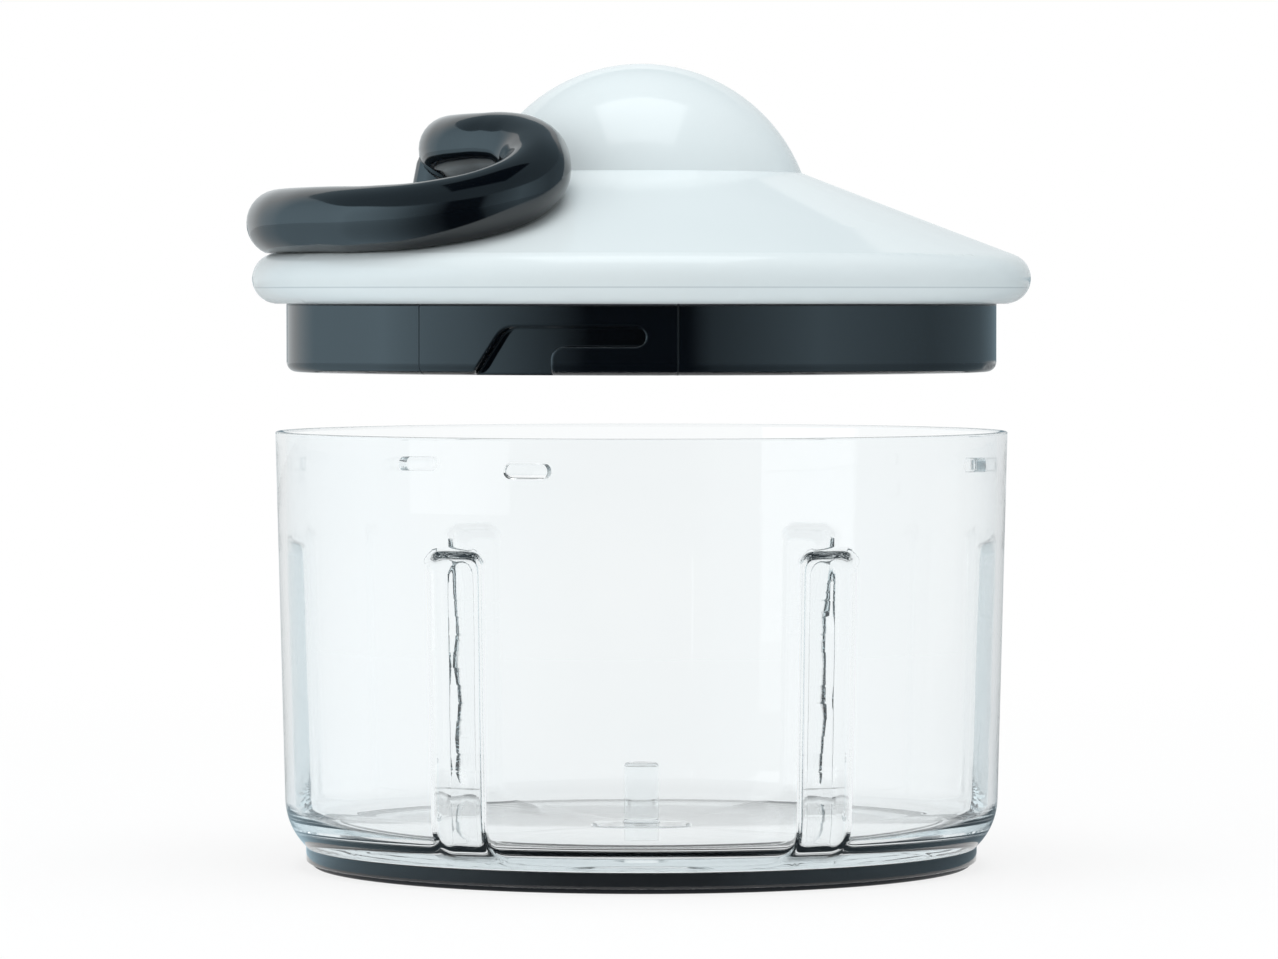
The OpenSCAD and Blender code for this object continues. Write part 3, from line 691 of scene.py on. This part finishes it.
waves = bpy.data.textures.new("rib_waves", "CLOUDS")
waves.noise_scale = RIB_WAVE_LENGTH
make_active(bowl)
bpy.ops.object.modifier_add(type="DISPLACE")
ripple = bowl.modifiers[-1]
ripple.texture = waves
ripple.texture_coords = "LOCAL"
ripple.vertex_group = bowl.vertex_groups[-1].name
ripple.strength = RIB_WAVE_DEPTH
ripple.mid_level = 0.5
bpy.ops.object.modifier_apply(modifier=ripple.name)
close_on_axis(bowl)
tidy_mesh(bowl, BOWL_SMOOTH)
print("bowl with its ribs:", len(bowl.data.vertices), "points")

# %% [markdown]
# Each lug of the bayonet is a small bar with round ends on the mouth's wall. A cube becomes one
# when the edges at its ends are bevelled into half rounds, and then it is joined to the wall.

# %% Bayonet lugs
LUG_SIZE = Vector((8, 3.4, 2.7)) * MM
LUG_TIP_R = 62.6 * MM
LUG_Z = BOWL_H - 5.7 * MM
LUG_ANGLES = [-17.9, 102.1, 222.1]
LUG_END_SHARE = 0.48
LUG_END_STEPS = 8
LUG_EDGE = 0.25 * MM
LUG_EDGE_STEPS = 2


def lug(angle):
    clear_selection()
    bpy.ops.mesh.primitive_cube_add(size=1, location=(0, 0, 0))
    bar = bpy.context.object
    bar.scale = LUG_SIZE
    place_as_mesh(bar)
    bpy.ops.object.mode_set(mode="EDIT")
    bpy.ops.mesh.select_mode(type="EDGE")
    bpy.ops.mesh.select_all(action="DESELECT")
    bpy.ops.object.mode_set(mode="OBJECT")
    points = bar.data.vertices
    for edge in bar.data.edges:
        a, b = (points[i].co for i in edge.vertices)
        edge.select = abs(a.y - b.y) > LUG_SIZE.y / 2
    bpy.ops.object.mode_set(mode="EDIT")
    bpy.ops.mesh.bevel(offset=LUG_END_SHARE * LUG_SIZE.z, segments=LUG_END_STEPS, affect="EDGES")
    bpy.ops.object.mode_set(mode="OBJECT")
    round_edges(bar, LUG_EDGE, LUG_EDGE_STEPS)
    bar.location = (0, -LUG_TIP_R - LUG_SIZE.y / 2, LUG_Z)
    place_as_mesh(bar)
    bar.rotation_euler.z = radians(angle)
    place_as_mesh(bar)
    return bar


for angle in LUG_ANGLES:
    boolean(bowl, lug(angle), "UNION")
tidy_mesh(bowl, BOWL_SMOOTH)
settle(bowl, clear_finish, "bowl", "clear_plastic", "bowl")

# %% [markdown]
# ## Soft foot ring
#
# A rubber ring fills the groove under the bowl and stands a little below the clear lip. It is
# turned as a closed section with round lower corners, and reaches a hair into the plastic: it is
# moulded on, and with no air between them its dark face shows through the clear lip.

# %% Foot ring
RING_GRIP = 0.05 * MM
RING_ROUND = 0.7 * MM
RING_COLUMNS = 240
ring_section = (
    arc(FOOT_OUT_R + RING_GRIP - RING_ROUND, RING_ROUND, RING_ROUND, -90, 0, 5)
    + arc(FOOT_OUT_R + RING_GRIP - SOFT, FOOT_H + RING_GRIP - SOFT, SOFT, 0, 90, 3)
    + arc(FOOT_IN_R - RING_GRIP + SOFT, FOOT_H + RING_GRIP - SOFT, SOFT, 90, 180, 3)
    + arc(FOOT_IN_R - RING_GRIP + RING_ROUND, RING_ROUND, RING_ROUND, 180, 270, 5)
)
foot = turn_on_lathe("soft_foot_ring", ring_section + ring_section[:1], RING_COLUMNS)
tidy_mesh(foot)
settle(foot, foot_rubber, "bowl", "foot_rubber", "foot_ring")

# %% [markdown]
# ## Pull handle
#
# The handle is a round bar bent into a closed crescent: one bar runs along the lid's edge, the
# other hugs the foot of the dome, and the rounded ends climb the cone between them. A Bezier
# circle with a round bevel is the quickest way to such a bar. Its points are moved to the
# crescent, it becomes a mesh, a flared neck joins it, and the lid's own outline, grown by the
# gap under the handle, is cut away from its underside.

# %% Middle line of the handle
BAR_R = 6.1 * MM
BAR_PAST_RIM = 1 * MM
BAR_OUT_R = LID_RIM_R + BAR_PAST_RIM - BAR_R
BAR_OUT_Z = LID_Z + 14.7 * MM
BAR_IN_Z = CORD_Z
BAR_IN_R = sqrt((DOME_R + HANDLE_GAP + BAR_R) ** 2 - (BAR_IN_Z - DOME_Z) ** 2)
BAR_HALF_TURN = radians(45)
BAR_END_TURN = radians(22)
RUN_STEPS = 8
END_STEPS = 6


def bar_point(r, turn):
    climb = (BAR_OUT_R - r) / (BAR_OUT_R - BAR_IN_R)
    return Vector((-r * cos(turn), -r * sin(turn), BAR_OUT_Z + climb * (BAR_IN_Z - BAR_OUT_Z)))


def bar_end(t, side):
    middle_r, half_r = (BAR_OUT_R + BAR_IN_R) / 2, (BAR_OUT_R - BAR_IN_R) / 2
    return bar_point(middle_r + half_r * cos(t), side * (BAR_HALF_TURN + BAR_END_TURN * sin(t)))


runs = [BAR_HALF_TURN * (2 * i / RUN_STEPS - 1) for i in range(RUN_STEPS + 1)]
ends = [pi * i / END_STEPS for i in range(1, END_STEPS)]
handle_line = (
    [bar_point(BAR_OUT_R, turn) for turn in runs]
    + [bar_end(t, 1) for t in ends]
    + [bar_point(BAR_IN_R, -turn) for turn in runs]
    + [bar_end(pi - t, -1) for t in ends]
)
print("handle line:", len(handle_line), "points")

# %% [markdown]
# The curve takes its knots from the middle line, and becomes a mesh with a round section. The cord
# is made with the same helper, as an open curve with flat ends.

# %% Bar of the handle
CURVE_START_R = 50 * MM


def bent_bar(name, points, radius, closed, sides=14, steps=10):
    """A Bezier curve through points, with a round section, turned into a mesh."""
    clear_selection()
    bpy.ops.curve.primitive_bezier_circle_add(radius=CURVE_START_R)
    curve = bpy.context.object
    curve.name = name
    spline = curve.data.splines[0]
    spline.bezier_points.add(len(points) - len(spline.bezier_points))
    spline.use_cyclic_u = closed
    for knot, place in zip(spline.bezier_points, points):
        knot.co = place
        knot.handle_left_type = knot.handle_right_type = "AUTO"
    curve.data.dimensions = "3D"
    curve.data.twist_mode = "Z_UP"
    curve.data.resolution_u = steps
    curve.data.bevel_depth = radius
    curve.data.bevel_resolution = sides
    curve.data.use_fill_caps = not closed
    bpy.ops.object.convert(target="MESH")
    piece = bpy.context.object
    piece.name = piece.data.name = name
    return piece


handle = bent_bar("pull_handle", handle_line, BAR_R, True)
tidy_mesh(handle)
print("bar:", len(handle.data.vertices), "points")

# %% [markdown]
# The lid's outline is turned on the lathe as a plain solid and grown by the gap. It serves only
# as a cutter here, so that the handle's underside follows the cone and the dome.

# %% Neck, and the cut underneath
NECK_LOW_R = 7.8 * MM
NECK_TOP_R = 6 * MM
NECK_COLUMNS = 96
CUTTER_COLUMNS = 192
RIM_MID_R = LID_RIM_R - RIM_ROUND_R
EDGE_R = RIM_MID_R + RIM_ROUND_R * sin(CONE_SLOPE)
EDGE_Z = LID_Z + RIM_ROUND_R * (1 + cos(CONE_SLOPE))
TAN_SLOPE = sin(CONE_SLOPE) / cos(CONE_SLOPE)


def cone_z(r):
    return EDGE_Z + (EDGE_R - r) * TAN_SLOPE


def dome_crease(grown, lift):
    """Angle, to a tenth of a degree, at which the grown dome goes under the lifted cone."""
    for tenth in range(899, 0, -1):
        turn = radians(tenth / 10)
        if DOME_Z + grown * sin(turn) < cone_z(grown * cos(turn)) + lift:
            return tenth / 10


def lid_outline(gap):
    """Section of the lid's outside, grown by a gap: edge, cone and dome."""
    grown = DOME_R + gap
    crease = dome_crease(grown, gap / cos(CONE_SLOPE))
    return (
        [(AXIS_R, LID_Z - gap), (RIM_MID_R, LID_Z - gap)]
        + arc(RIM_MID_R, LID_Z + RIM_ROUND_R, RIM_ROUND_R + gap, -90, 90 - degrees(CONE_SLOPE), 16)[1:]
        + arc(0, DOME_Z, grown, crease, 89, 24)
        + [(AXIS_R, DOME_Z + grown)]
    )


cutter = turn_on_lathe("lid_cutter", lid_outline(HANDLE_GAP), CUTTER_COLUMNS)
close_on_axis(cutter)
tidy_mesh(cutter)
clear_selection()
neck_low_z = cone_z(BAR_IN_R + NECK_LOW_R)
bpy.ops.mesh.primitive_cone_add(vertices=NECK_COLUMNS, radius1=NECK_LOW_R, radius2=NECK_TOP_R,
                                depth=BAR_IN_Z - neck_low_z,
                                location=(-BAR_IN_R, 0, (BAR_IN_Z + neck_low_z) / 2))
neck = bpy.context.object
place_as_mesh(neck)
boolean(handle, neck, "UNION")
boolean(handle, cutter, "DIFFERENCE")
print("handle:", len(handle.data.vertices), "points")

# %% [markdown]
# The cord comes in through a narrow bore on the dome's side, and its knot sits in a wider pocket
# on the finger side, which a plug closes.

# %% Bore and pocket
CORD_PLAY = 0.3 * MM
KNOT_R = 2.2 * MM
POCKET_R = KNOT_R + CORD_PLAY
PLUG_SUNK = 0.6 * MM
PLUG_FACE = BAR_IN_R + BAR_R - PLUG_SUNK
PLUG_T = 1.6 * MM
POCKET_START = PLUG_FACE - PLUG_T - CORD_PLAY - 2 * KNOT_R
BORE_COLUMNS = 48


def bar_along_x(name, radius, near, far):
    """A round bar at the cord's height, from one distance left of the axis to another."""
    clear_selection()
    middle = (-(near + far) / 2, 0, CORD_Z)
    bpy.ops.mesh.primitive_cylinder_add(vertices=BORE_COLUMNS, radius=radius, depth=far - near,
                                        location=middle, rotation=(0, pi / 2, 0))
    piece = bpy.context.object
    piece.name = name
    place_as_mesh(piece)
    return piece


bore = bar_along_x("bore", CORD_R + CORD_PLAY, BAR_IN_R - 2 * BAR_R, BAR_IN_R + BAR_R)
boolean(handle, bore, "DIFFERENCE")
pocket = bar_along_x("pocket", POCKET_R, POCKET_START, BAR_IN_R + 2 * BAR_R)
boolean(handle, pocket, "DIFFERENCE")
tidy_mesh(handle)
settle(handle, black_gloss, "handle", "black_plastic", "handle")

# %% [markdown]
# ## Pull cord
#
# When the handle is parked the cord is inside: a flat spiral on the drum, a short run to the
# eyelet, and a knotted end in the handle. Each stretch moves with another body, so each is a
# piece. A last short piece bridges eyelet and handle.

# %% Cord on the drum and to the eyelet
COIL_IN_R = 10.05 * MM
COIL_PITCH = 2.05 * MM
COIL_TURNS = 4
COIL_STEPS = 24
CORD_SIDES = 4
CORD_SMOOTH = 60
LEAD_ROUTE = [(-17.6, -9.9), (-19.3, -6.9), (-20.8, -4.2), (-21.9, -2.3),
              (-23, -0.8), (-24.2, -0.1), (-25.6, 0), (-27.3, 0)]
lead_turn = atan2(LEAD_ROUTE[0][1], LEAD_ROUTE[0][0])


def coil_point(i):
    r = COIL_IN_R + COIL_PITCH * i / COIL_STEPS
    turn = lead_turn + tau * (COIL_TURNS - i / COIL_STEPS)
    return Vector((r * cos(turn), r * sin(turn), CORD_Z))


def cord_piece(name, points, steps):
    """A stretch of cord through points."""
    piece = bent_bar(name, points, CORD_R, False, sides=CORD_SIDES, steps=steps)
    tidy_mesh(piece, CORD_SMOOTH)
    return piece


coil = [coil_point(i) for i in range(COIL_TURNS * COIL_STEPS + 1)]
winding = cord_piece("wound_cord", coil, 2)
settle(winding, cord_finish, "reel", "cord", "cord_winding")
lead_line = [Vector((x * MM, y * MM, CORD_Z)) for x, y in LEAD_ROUTE]
lead = cord_piece("cord_to_eyelet", lead_line, 4)
settle(lead, cord_finish, "lid", "cord", "cord_lead")

# %% [markdown]
# The cord's end goes straight into the handle and winds twice on itself, which stands for the knot.
# The stretch between eyelet and handle is almost nothing when parked: a short straight piece on
# the cord's line.

# %% Knotted end, and the stretch that is pulled out
TAIL_START = 28.04 * MM
KNOT_TURNS = 2
KNOT_STEPS = 12
KNOT_PLAY = 0.05 * MM
KNOT_FLAT = 0.9
STRAIGHT_STEPS = 4
PULL_STEPS = 6
knot_r = KNOT_R - CORD_R - KNOT_PLAY
lead_end = -LEAD_ROUTE[-1][0] * MM


def along_cord(start, end, steps):
    """Even points on the cord's straight line, from one distance left of the axis to another."""
    return [Vector((-start - (end - start) * i / steps, 0, CORD_Z)) for i in range(steps + 1)]


def knot_point(i):
    turn = tau * i / KNOT_STEPS
    along = POCKET_START + CORD_R + (2 * KNOT_R - 2 * CORD_R) * i / (KNOT_TURNS * KNOT_STEPS)
    return Vector((-along, knot_r * sin(turn), CORD_Z + KNOT_FLAT * knot_r * cos(turn)))


straight = along_cord(TAIL_START, POCKET_START, STRAIGHT_STEPS)[:-1]
knot = [knot_point(i) for i in range(2, KNOT_TURNS * KNOT_STEPS + 1)]
tail = cord_piece("knotted_cord_end", straight + knot, 3)
settle(tail, cord_finish, "handle", "cord", "cord_tail")

pull_line = along_cord(lead_end, TAIL_START, PULL_STEPS)
pulled = cord_piece("pulled_cord", pull_line, 1)
dress(pulled, cord_finish)
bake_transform(pulled)
print("cord pieces made")

# %% [markdown]
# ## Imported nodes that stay
#
# The lid's shells and the pieces of the drive have the right shape as solids. They stay as they
# are, and only get their finishes.

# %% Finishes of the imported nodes
node_finish = {
    "lid_cover": white_gloss, "lid_base": skirt_black, "lid_seal": seal_rubber, "lid_screws": steel,
    "reel_axle": steel, "axle_clip": spring_steel, "cord_eyelet": bearing_plastic,
    "recoil_spring": spring_steel, "reel_drum": bearing_plastic, "spring_cup": bearing_plastic,
    "pawl_front": clutch_plastic, "pawl_rear": clutch_plastic, "ratchet_cup": clutch_plastic,
    "drive_socket": black_gloss, "drive_bush": bearing_plastic, "knot_plug": black_gloss,
}
for name, material in node_finish.items():
    dress(nodes[name], material)
print("packed nodes dressed:", len(node_finish))

# %% [markdown]
# ## Studio
#
# The photograph has a white ground with no visible horizon. The floor and the world are white to
# the camera, to reflections and to light that has passed the clear bowl, and the object is lit
# by a dimmer sky and soft lamps.

# %% World
LIGHT_PATH_KINDS = ("Is Camera Ray", "Is Glossy Ray", "Is Transmission Ray")
WHITE = (1, 1, 1, 1)
BLACK = (0, 0, 0, 1)
SKY_TONE = (0.985, 0.995, 1, 1)
SKY_LIGHT = 0.66


def seen_rays(tree):
    """One where the camera looks, directly, in a reflection or through clear plastic."""
    path = tree.nodes.new("ShaderNodeLightPath")
    total = path.outputs[LIGHT_PATH_KINDS[0]]
    for kind in LIGHT_PATH_KINDS[1:]:
        total = calculate(tree, "MAXIMUM", total, path.outputs[kind])
    return total


world = bpy.data.worlds.new("studio")
bpy.context.scene.world = world
world.use_nodes = True
sky = world.node_tree
sky_light = sky.nodes["Background"]
sky_light.inputs["Color"].default_value = SKY_TONE
sky_light.inputs["Strength"].default_value = SKY_LIGHT
white_ground = sky.nodes.new("ShaderNodeBackground")
white_ground.inputs["Color"].default_value = WHITE
white_ground.inputs["Strength"].default_value = 1.0
choice = sky.nodes.new("ShaderNodeMixShader")
sky.links.new(seen_rays(sky), choice.inputs["Fac"])
sky.links.new(sky_light.outputs[0], choice.inputs[1])
sky.links.new(white_ground.outputs[0], choice.inputs[2])
sky.links.new(choice.outputs[0], sky.nodes["World Output"].inputs["Surface"])

print("world made")

# %% [markdown]
# The floor is a wide pale sheet that keeps the object's soft shadow. Where the camera sees it, it
# glows white for the most part, and wholly so further out, so that it has no visible end.

# %% Floor
FLOOR_W = 16
FLOOR_TONES = (0.93, 0.94, 0.945), (0.95, 0.96, 0.965)
FLOOR_TONE_SCALE = 3
FLOOR_ROUGH = 0.9
FLOOR_FADE = (0.1, 0.6)
GROUND_SHARE = 0.8


def pale_floor():
    material, tree, shader, place = new_finish("pale_floor")
    cloud = spread(tree, noise(tree, place, FLOOR_TONE_SCALE), 0, 1)
    tree.links.new(tones(tree, cloud, *FLOOR_TONES), shader.inputs["Base Color"])
    shader.inputs["Roughness"].default_value = FLOOR_ROUGH
    shader.inputs["Specular IOR Level"].default_value = 0.0
    glow = tree.nodes.new("ShaderNodeEmission")
    glow.inputs["Strength"].default_value = 1.0
    reach = tree.nodes.new("ShaderNodeVectorMath")
    reach.operation = "LENGTH"
    tree.links.new(place, reach.inputs[0])
    fade = map_range(tree, reach.outputs["Value"], *FLOOR_FADE, GROUND_SHARE, 1)
    fade.interpolation_type = "SMOOTHSTEP"
    share = calculate(tree, "MULTIPLY", fade.outputs["Result"], seen_rays(tree))
    mix = tree.nodes.new("ShaderNodeMixShader")
    tree.links.new(share, mix.inputs["Fac"])
    tree.links.new(shader.outputs[0], mix.inputs[1])
    tree.links.new(glow.outputs[0], mix.inputs[2])
    tree.links.new(mix.outputs[0], tree.nodes["Material Output"].inputs["Surface"])
    return material


clear_selection()
bpy.ops.mesh.primitive_plane_add(size=FLOOR_W, location=(0, 0, 0))
floor = bpy.context.object
floor.name = "floor"
dress(floor, pale_floor())
print("floor made")

# %% [markdown]
# Glossy black plastic is only seen by what it mirrors. A screen stands round the object as in a
# studio: dark behind the camera, brightest on the left and softer on the right, with slow changes
# between, and its light goes on over the floor. A dim ceiling with one bright panel closes it
# above, and a dim strip stands far behind the lid. They show in mirrored light alone, so they
# neither hide the object nor light it. The panel is kept off the handle, as a flag does it.


# %% Screens that the plastic mirrors
SCREEN_R = 2.0
SCREEN_H = 1.3
COOL = (0.62, 0.86, 1)
PALE = (0.93, 0.98, 1)
SCREEN_LIGHT = [(-180, 0.85, PALE), (-150, 0.65, PALE), (-130, 0.68, COOL), (-90, 1.5, COOL),
                (-58, 1.05, COOL), (-17, 0.01, COOL), (15, 0.01, COOL), (22, 0.32, COOL),
                (58, 0.85, COOL), (105, 0.36, COOL), (141, 0.3, COOL), (160, 0.5, PALE),
                (180, 0.85, PALE)]
SCREEN_COLUMNS = 360
FLOOR_LIGHT_R = 0.066
FLOOR_LIGHT_Z = 0.5 * MM
FLOOR_LIGHT_SHARE = 0.6
FLOOR_LIGHT_COLUMNS = 96
STRIP_TURN = (141, 193)
STRIP_R = 1.7
STRIP_Z = (0.065, 0.125)
STRIP_LIGHT = (0.28, 0.34)
CEILING_SIZE = (3 * SCREEN_R, 3 * SCREEN_R)
CEILING_LIGHT = (0.25, 0.29)
PANEL_PLACE = (0, -0.12, 1.14)
PANEL_SIZE = (0.73, 0.75)
PANEL_LIGHT = (1.7, 1.9)
SLOW_SCALE = 0.6


def only_mirrored(piece, material):
    dress(piece, material)
    piece.visible_camera = piece.visible_transmission = False
    piece.visible_diffuse = piece.visible_shadow = False


def screen(name, start, end, radius, low, high, material):
    """An upright screen round the axis, from one angle beside the camera's side to another."""
    clear_selection()
    bpy.ops.mesh.primitive_cylinder_add(vertices=SCREEN_COLUMNS, radius=radius, depth=high - low,
                                        end_fill_type="NOTHING", location=(0, 0, (low + high) / 2))
    piece = bpy.context.object
    piece.name = name
    place_as_mesh(piece)
    past_end = end - start + 0.1
    select_points(piece, lambda v: (degrees(atan2(v.co.x, -v.co.y)) - start) % 360 > past_end)
    bpy.ops.mesh.delete(type="VERT")
    bpy.ops.object.mode_set(mode="OBJECT")
    only_mirrored(piece, material)


def card(name, middle, size, material):
    """A level card of a width and a length."""
    clear_selection()
    bpy.ops.mesh.primitive_plane_add(size=1, location=middle)
    piece = bpy.context.object
    piece.name = name
    piece.scale = (*size, 1)
    place_as_mesh(piece)
    only_mirrored(piece, material)
    return piece


def glowing(name, colour, low, high):
    """A surface that shines evenly, with a slow change across it."""
    material, tree, shader, place = new_finish(name)
    shader.inputs["Base Color"].default_value = BLACK
    shader.inputs["Emission Color"].default_value = (*colour, 1)
    light = spread(tree, noise(tree, place, SLOW_SCALE), low, high)
    tree.links.new(light, shader.inputs["Emission Strength"])
    return material


def lit_cloth(name, stops, share):
    """A cloth whose light changes with the angle about the axis, dimmed to a share."""
    material, tree, shader, place = new_finish(name)
    shader.inputs["Base Color"].default_value = BLACK
    turn = calculate(tree, "MULTIPLY_ADD", angle_round_axis(tree, place, 0), 1 / tau, 0.5)
    ramp = tree.nodes.new("ShaderNodeValToRGB")
    tree.links.new(turn, ramp.inputs["Fac"])
    for angle, _, _ in stops[1:-1]:
        ramp.color_ramp.elements.new(angle / 360 + 0.5)
    for stop, (angle, light, colour) in zip(ramp.color_ramp.elements, stops):
        stop.position = angle / 360 + 0.5
        stop.color = (*(light * part for part in colour), 1)
    tree.links.new(ramp.outputs["Color"], shader.inputs["Emission Color"])
    shader.inputs["Emission Strength"].default_value = share
    return material


screen_cloth = lit_cloth("screen_cloth", SCREEN_LIGHT, 1.0)
screen("round_screen", -180, 180, SCREEN_R, 0, SCREEN_H, screen_cloth)
strip_cloth = glowing("strip_cloth", COOL, *STRIP_LIGHT)
screen("dim_back_strip", *STRIP_TURN, STRIP_R, *STRIP_Z, strip_cloth)
floor_light_section = [(FLOOR_LIGHT_R, FLOOR_LIGHT_Z), (SCREEN_R, FLOOR_LIGHT_Z)]
floor_light = turn_on_lathe("floor_light", floor_light_section, FLOOR_LIGHT_COLUMNS)
only_mirrored(floor_light, lit_cloth("floor_cloth", SCREEN_LIGHT, FLOOR_LIGHT_SHARE))
card("dim_ceiling", (0, 0, SCREEN_H), CEILING_SIZE, glowing("ceiling_cloth", COOL, *CEILING_LIGHT))
panel = card("ceiling_panel", PANEL_PLACE, PANEL_SIZE, glowing("panel_cloth", PALE, *PANEL_LIGHT))
off_panel = bpy.data.collections.new("kept_off_panel")
off_panel.objects.link(handle)
off_panel.collection_objects[0].light_linking.link_state = "EXCLUDE"
panel.light_linking.receiver_collection = off_panel
print("screens made")

# %% [markdown]
# Two soft boxes light the object: a large one overhead, which gives the shadow under it, and a
# weaker one on the left. Reflections don't show them, since the screens take their place there.
# Light that is guided along a clear wall turns many times, so a path may bounce often.

# %% Soft lamps
LID_MIDDLE = Vector((0, 0, LID_Z))
OVERHEAD_PLACE = Vector((0, -0.12, 1.15))
OVERHEAD_POWER = 5.8
LEFT_PLACE = Vector((-1.5, -0.9, 0.55))
LEFT_SIZE = (1.2, 1.2)
LEFT_POWER = 3.5
MANY_BOUNCES = 160


def soft_lamp(name, place, size, power):
    """A soft box that is turned to the lid and doesn't show in reflections."""
    data = bpy.data.lights.new(name, "AREA")
    data.shape = "RECTANGLE"
    data.size, data.size_y = size
    data.energy = power
    lamp = bpy.data.objects.new(name, data)
    bpy.context.scene.collection.objects.link(lamp)
    lamp.location = place
    lamp.rotation_euler = (LID_MIDDLE - place).to_track_quat("-Z", "Y").to_euler()
    lamp.visible_glossy = False


soft_lamp("overhead_box", OVERHEAD_PLACE, PANEL_SIZE, OVERHEAD_POWER)
soft_lamp("left_box", LEFT_PLACE, LEFT_SIZE, LEFT_POWER)
bpy.context.scene.view_settings.view_transform = "Standard"
light_paths = bpy.context.scene.cycles
light_paths.max_bounces = MANY_BOUNCES
light_paths.glossy_bounces = MANY_BOUNCES
light_paths.transmission_bounces = MANY_BOUNCES

# %% [markdown]
# ## Last step
#
# Nothing is left selected at the end.

# %% Clear the selection
clear_selection()
